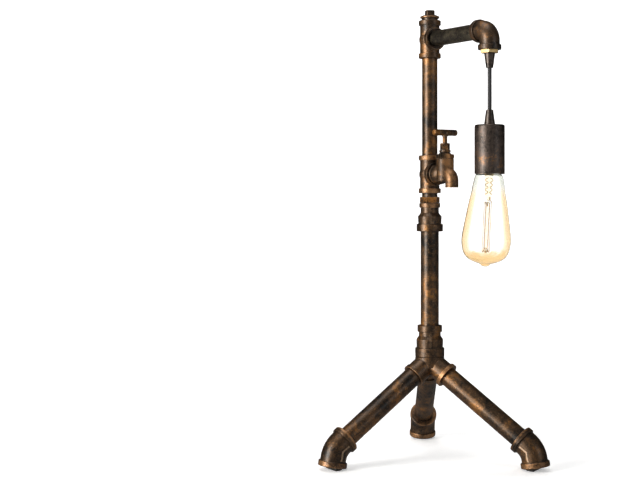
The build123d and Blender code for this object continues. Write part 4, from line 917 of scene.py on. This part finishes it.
def make_lights(context, settings):
    """Large soft light low on the left, a weak one on the right and one above, each facing the lamp."""
    # Name, place, target, width and height, power, colour
    lights = (
        ("key_light", (-1.9, -1.2, 0.55), (0, 0, 0.32), (0.8, 1.7), settings.key, (1.0, 0.97, 0.93)),
        ("fill_light", (1.9, -1.6, 0.9), (0, 0, 0.3), (0.7, 1.2), 0.08 * settings.key, (0.95, 0.97, 1.0)),
        ("top_light", (-0.3, -0.2, 2.4), (0, 0, 0.2), (1.4, 1.4), 0.24 * settings.key, (1, 1, 1)),
    )
    for name, place, target, size, power, colour in lights:
        lamp = bpy.data.lights.new(name, "AREA")
        lamp.shape = "RECTANGLE"
        lamp.size, lamp.size_y = size
        lamp.energy = power
        lamp.color = colour
        light = bpy.data.objects.new(name, lamp)
        light.location = place
        light.rotation_euler = (Vector(target) - light.location).to_track_quat("-Z", "Y").to_euler()
        context.collection.objects.link(light)


def make_surround(context):
    """Surround that is seen as white. As a light it is weak, and weaker from above than from below."""
    below, above, seen = 0.28, 0.07, 1.1
    world = bpy.data.worlds.new("surround")
    world.use_nodes = True
    nodes, links = world.node_tree.nodes, world.node_tree.links
    sky = nodes["Background"]
    sky.inputs["Color"].default_value = (1, 0.98, 0.94, 1)
    place = nodes.new("ShaderNodeTexCoord")
    split = nodes.new("ShaderNodeSeparateXYZ")
    spread = nodes.new("ShaderNodeMapRange")
    spread.interpolation_type = "SMOOTHSTEP"
    for socket, value in (("From Min", -0.5), ("From Max", 0.1), ("To Min", below), ("To Max", above)):
        spread.inputs[socket].default_value = value
    rays = nodes.new("ShaderNodeLightPath")
    strength = nodes.new("ShaderNodeMix")
    strength.inputs["B"].default_value = seen
    links.new(place.outputs["Generated"], split.inputs["Vector"])
    links.new(split.outputs["Z"], spread.inputs["Value"])
    links.new(rays.outputs["Is Camera Ray"], strength.inputs["Factor"])
    links.new(spread.outputs["Result"], strength.inputs["A"])
    links.new(strength.outputs["Result"], sky.inputs["Strength"])
    context.scene.world = world


# ---- Panel and start ----

class LAMP_PT_dresser(bpy.types.Panel):
    """Lists the lamp's steps and settings in the 3D view's sidebar"""

    bl_idname = "LAMP_PT_dresser"
    bl_label = "Pipe Lamp"
    bl_space_type = "VIEW_3D"
    bl_region_type = "UI"
    bl_category = "Pipe Lamp"

    def draw(self, context):
        for step in STEPS:
            self.layout.operator(step.bl_idname)
        for group in SETTINGS:
            values = getattr(context.scene, group)
            for name in type(values).__annotations__:
                self.layout.prop(values, name)


SETTINGS = {"lamp_finishes": LampFinishes, "lamp_bulb": LampBulb, "lamp_stage": LampStage}
STEPS = (
    LAMP_OT_stage, LAMP_OT_cord, LAMP_OT_pipework, LAMP_OT_tap, LAMP_OT_pendant, LAMP_OT_feet, LAMP_OT_bulb,
)


def register():
    for group, kind in SETTINGS.items():
        bpy.utils.register_class(kind)
        setattr(bpy.types.Scene, group, PointerProperty(type=kind))
    for step in (*STEPS, LAMP_PT_dresser):
        bpy.utils.register_class(step)


def unregister():
    for step in (LAMP_PT_dresser, *reversed(STEPS)):
        bpy.utils.unregister_class(step)
    for group, kind in reversed(SETTINGS.items()):
        delattr(bpy.types.Scene, group)
        bpy.utils.unregister_class(kind)


def main():
    """Registers the add-on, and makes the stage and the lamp."""
    register()
    bpy.ops.lamp.stage()
    bpy.ops.lamp.cord()
    bpy.ops.lamp.pipework()
    bpy.ops.lamp.tap()
    bpy.ops.lamp.pendant()
    bpy.ops.lamp.feet()
    bpy.ops.lamp.bulb()


if __name__ == "__main__":
    main()
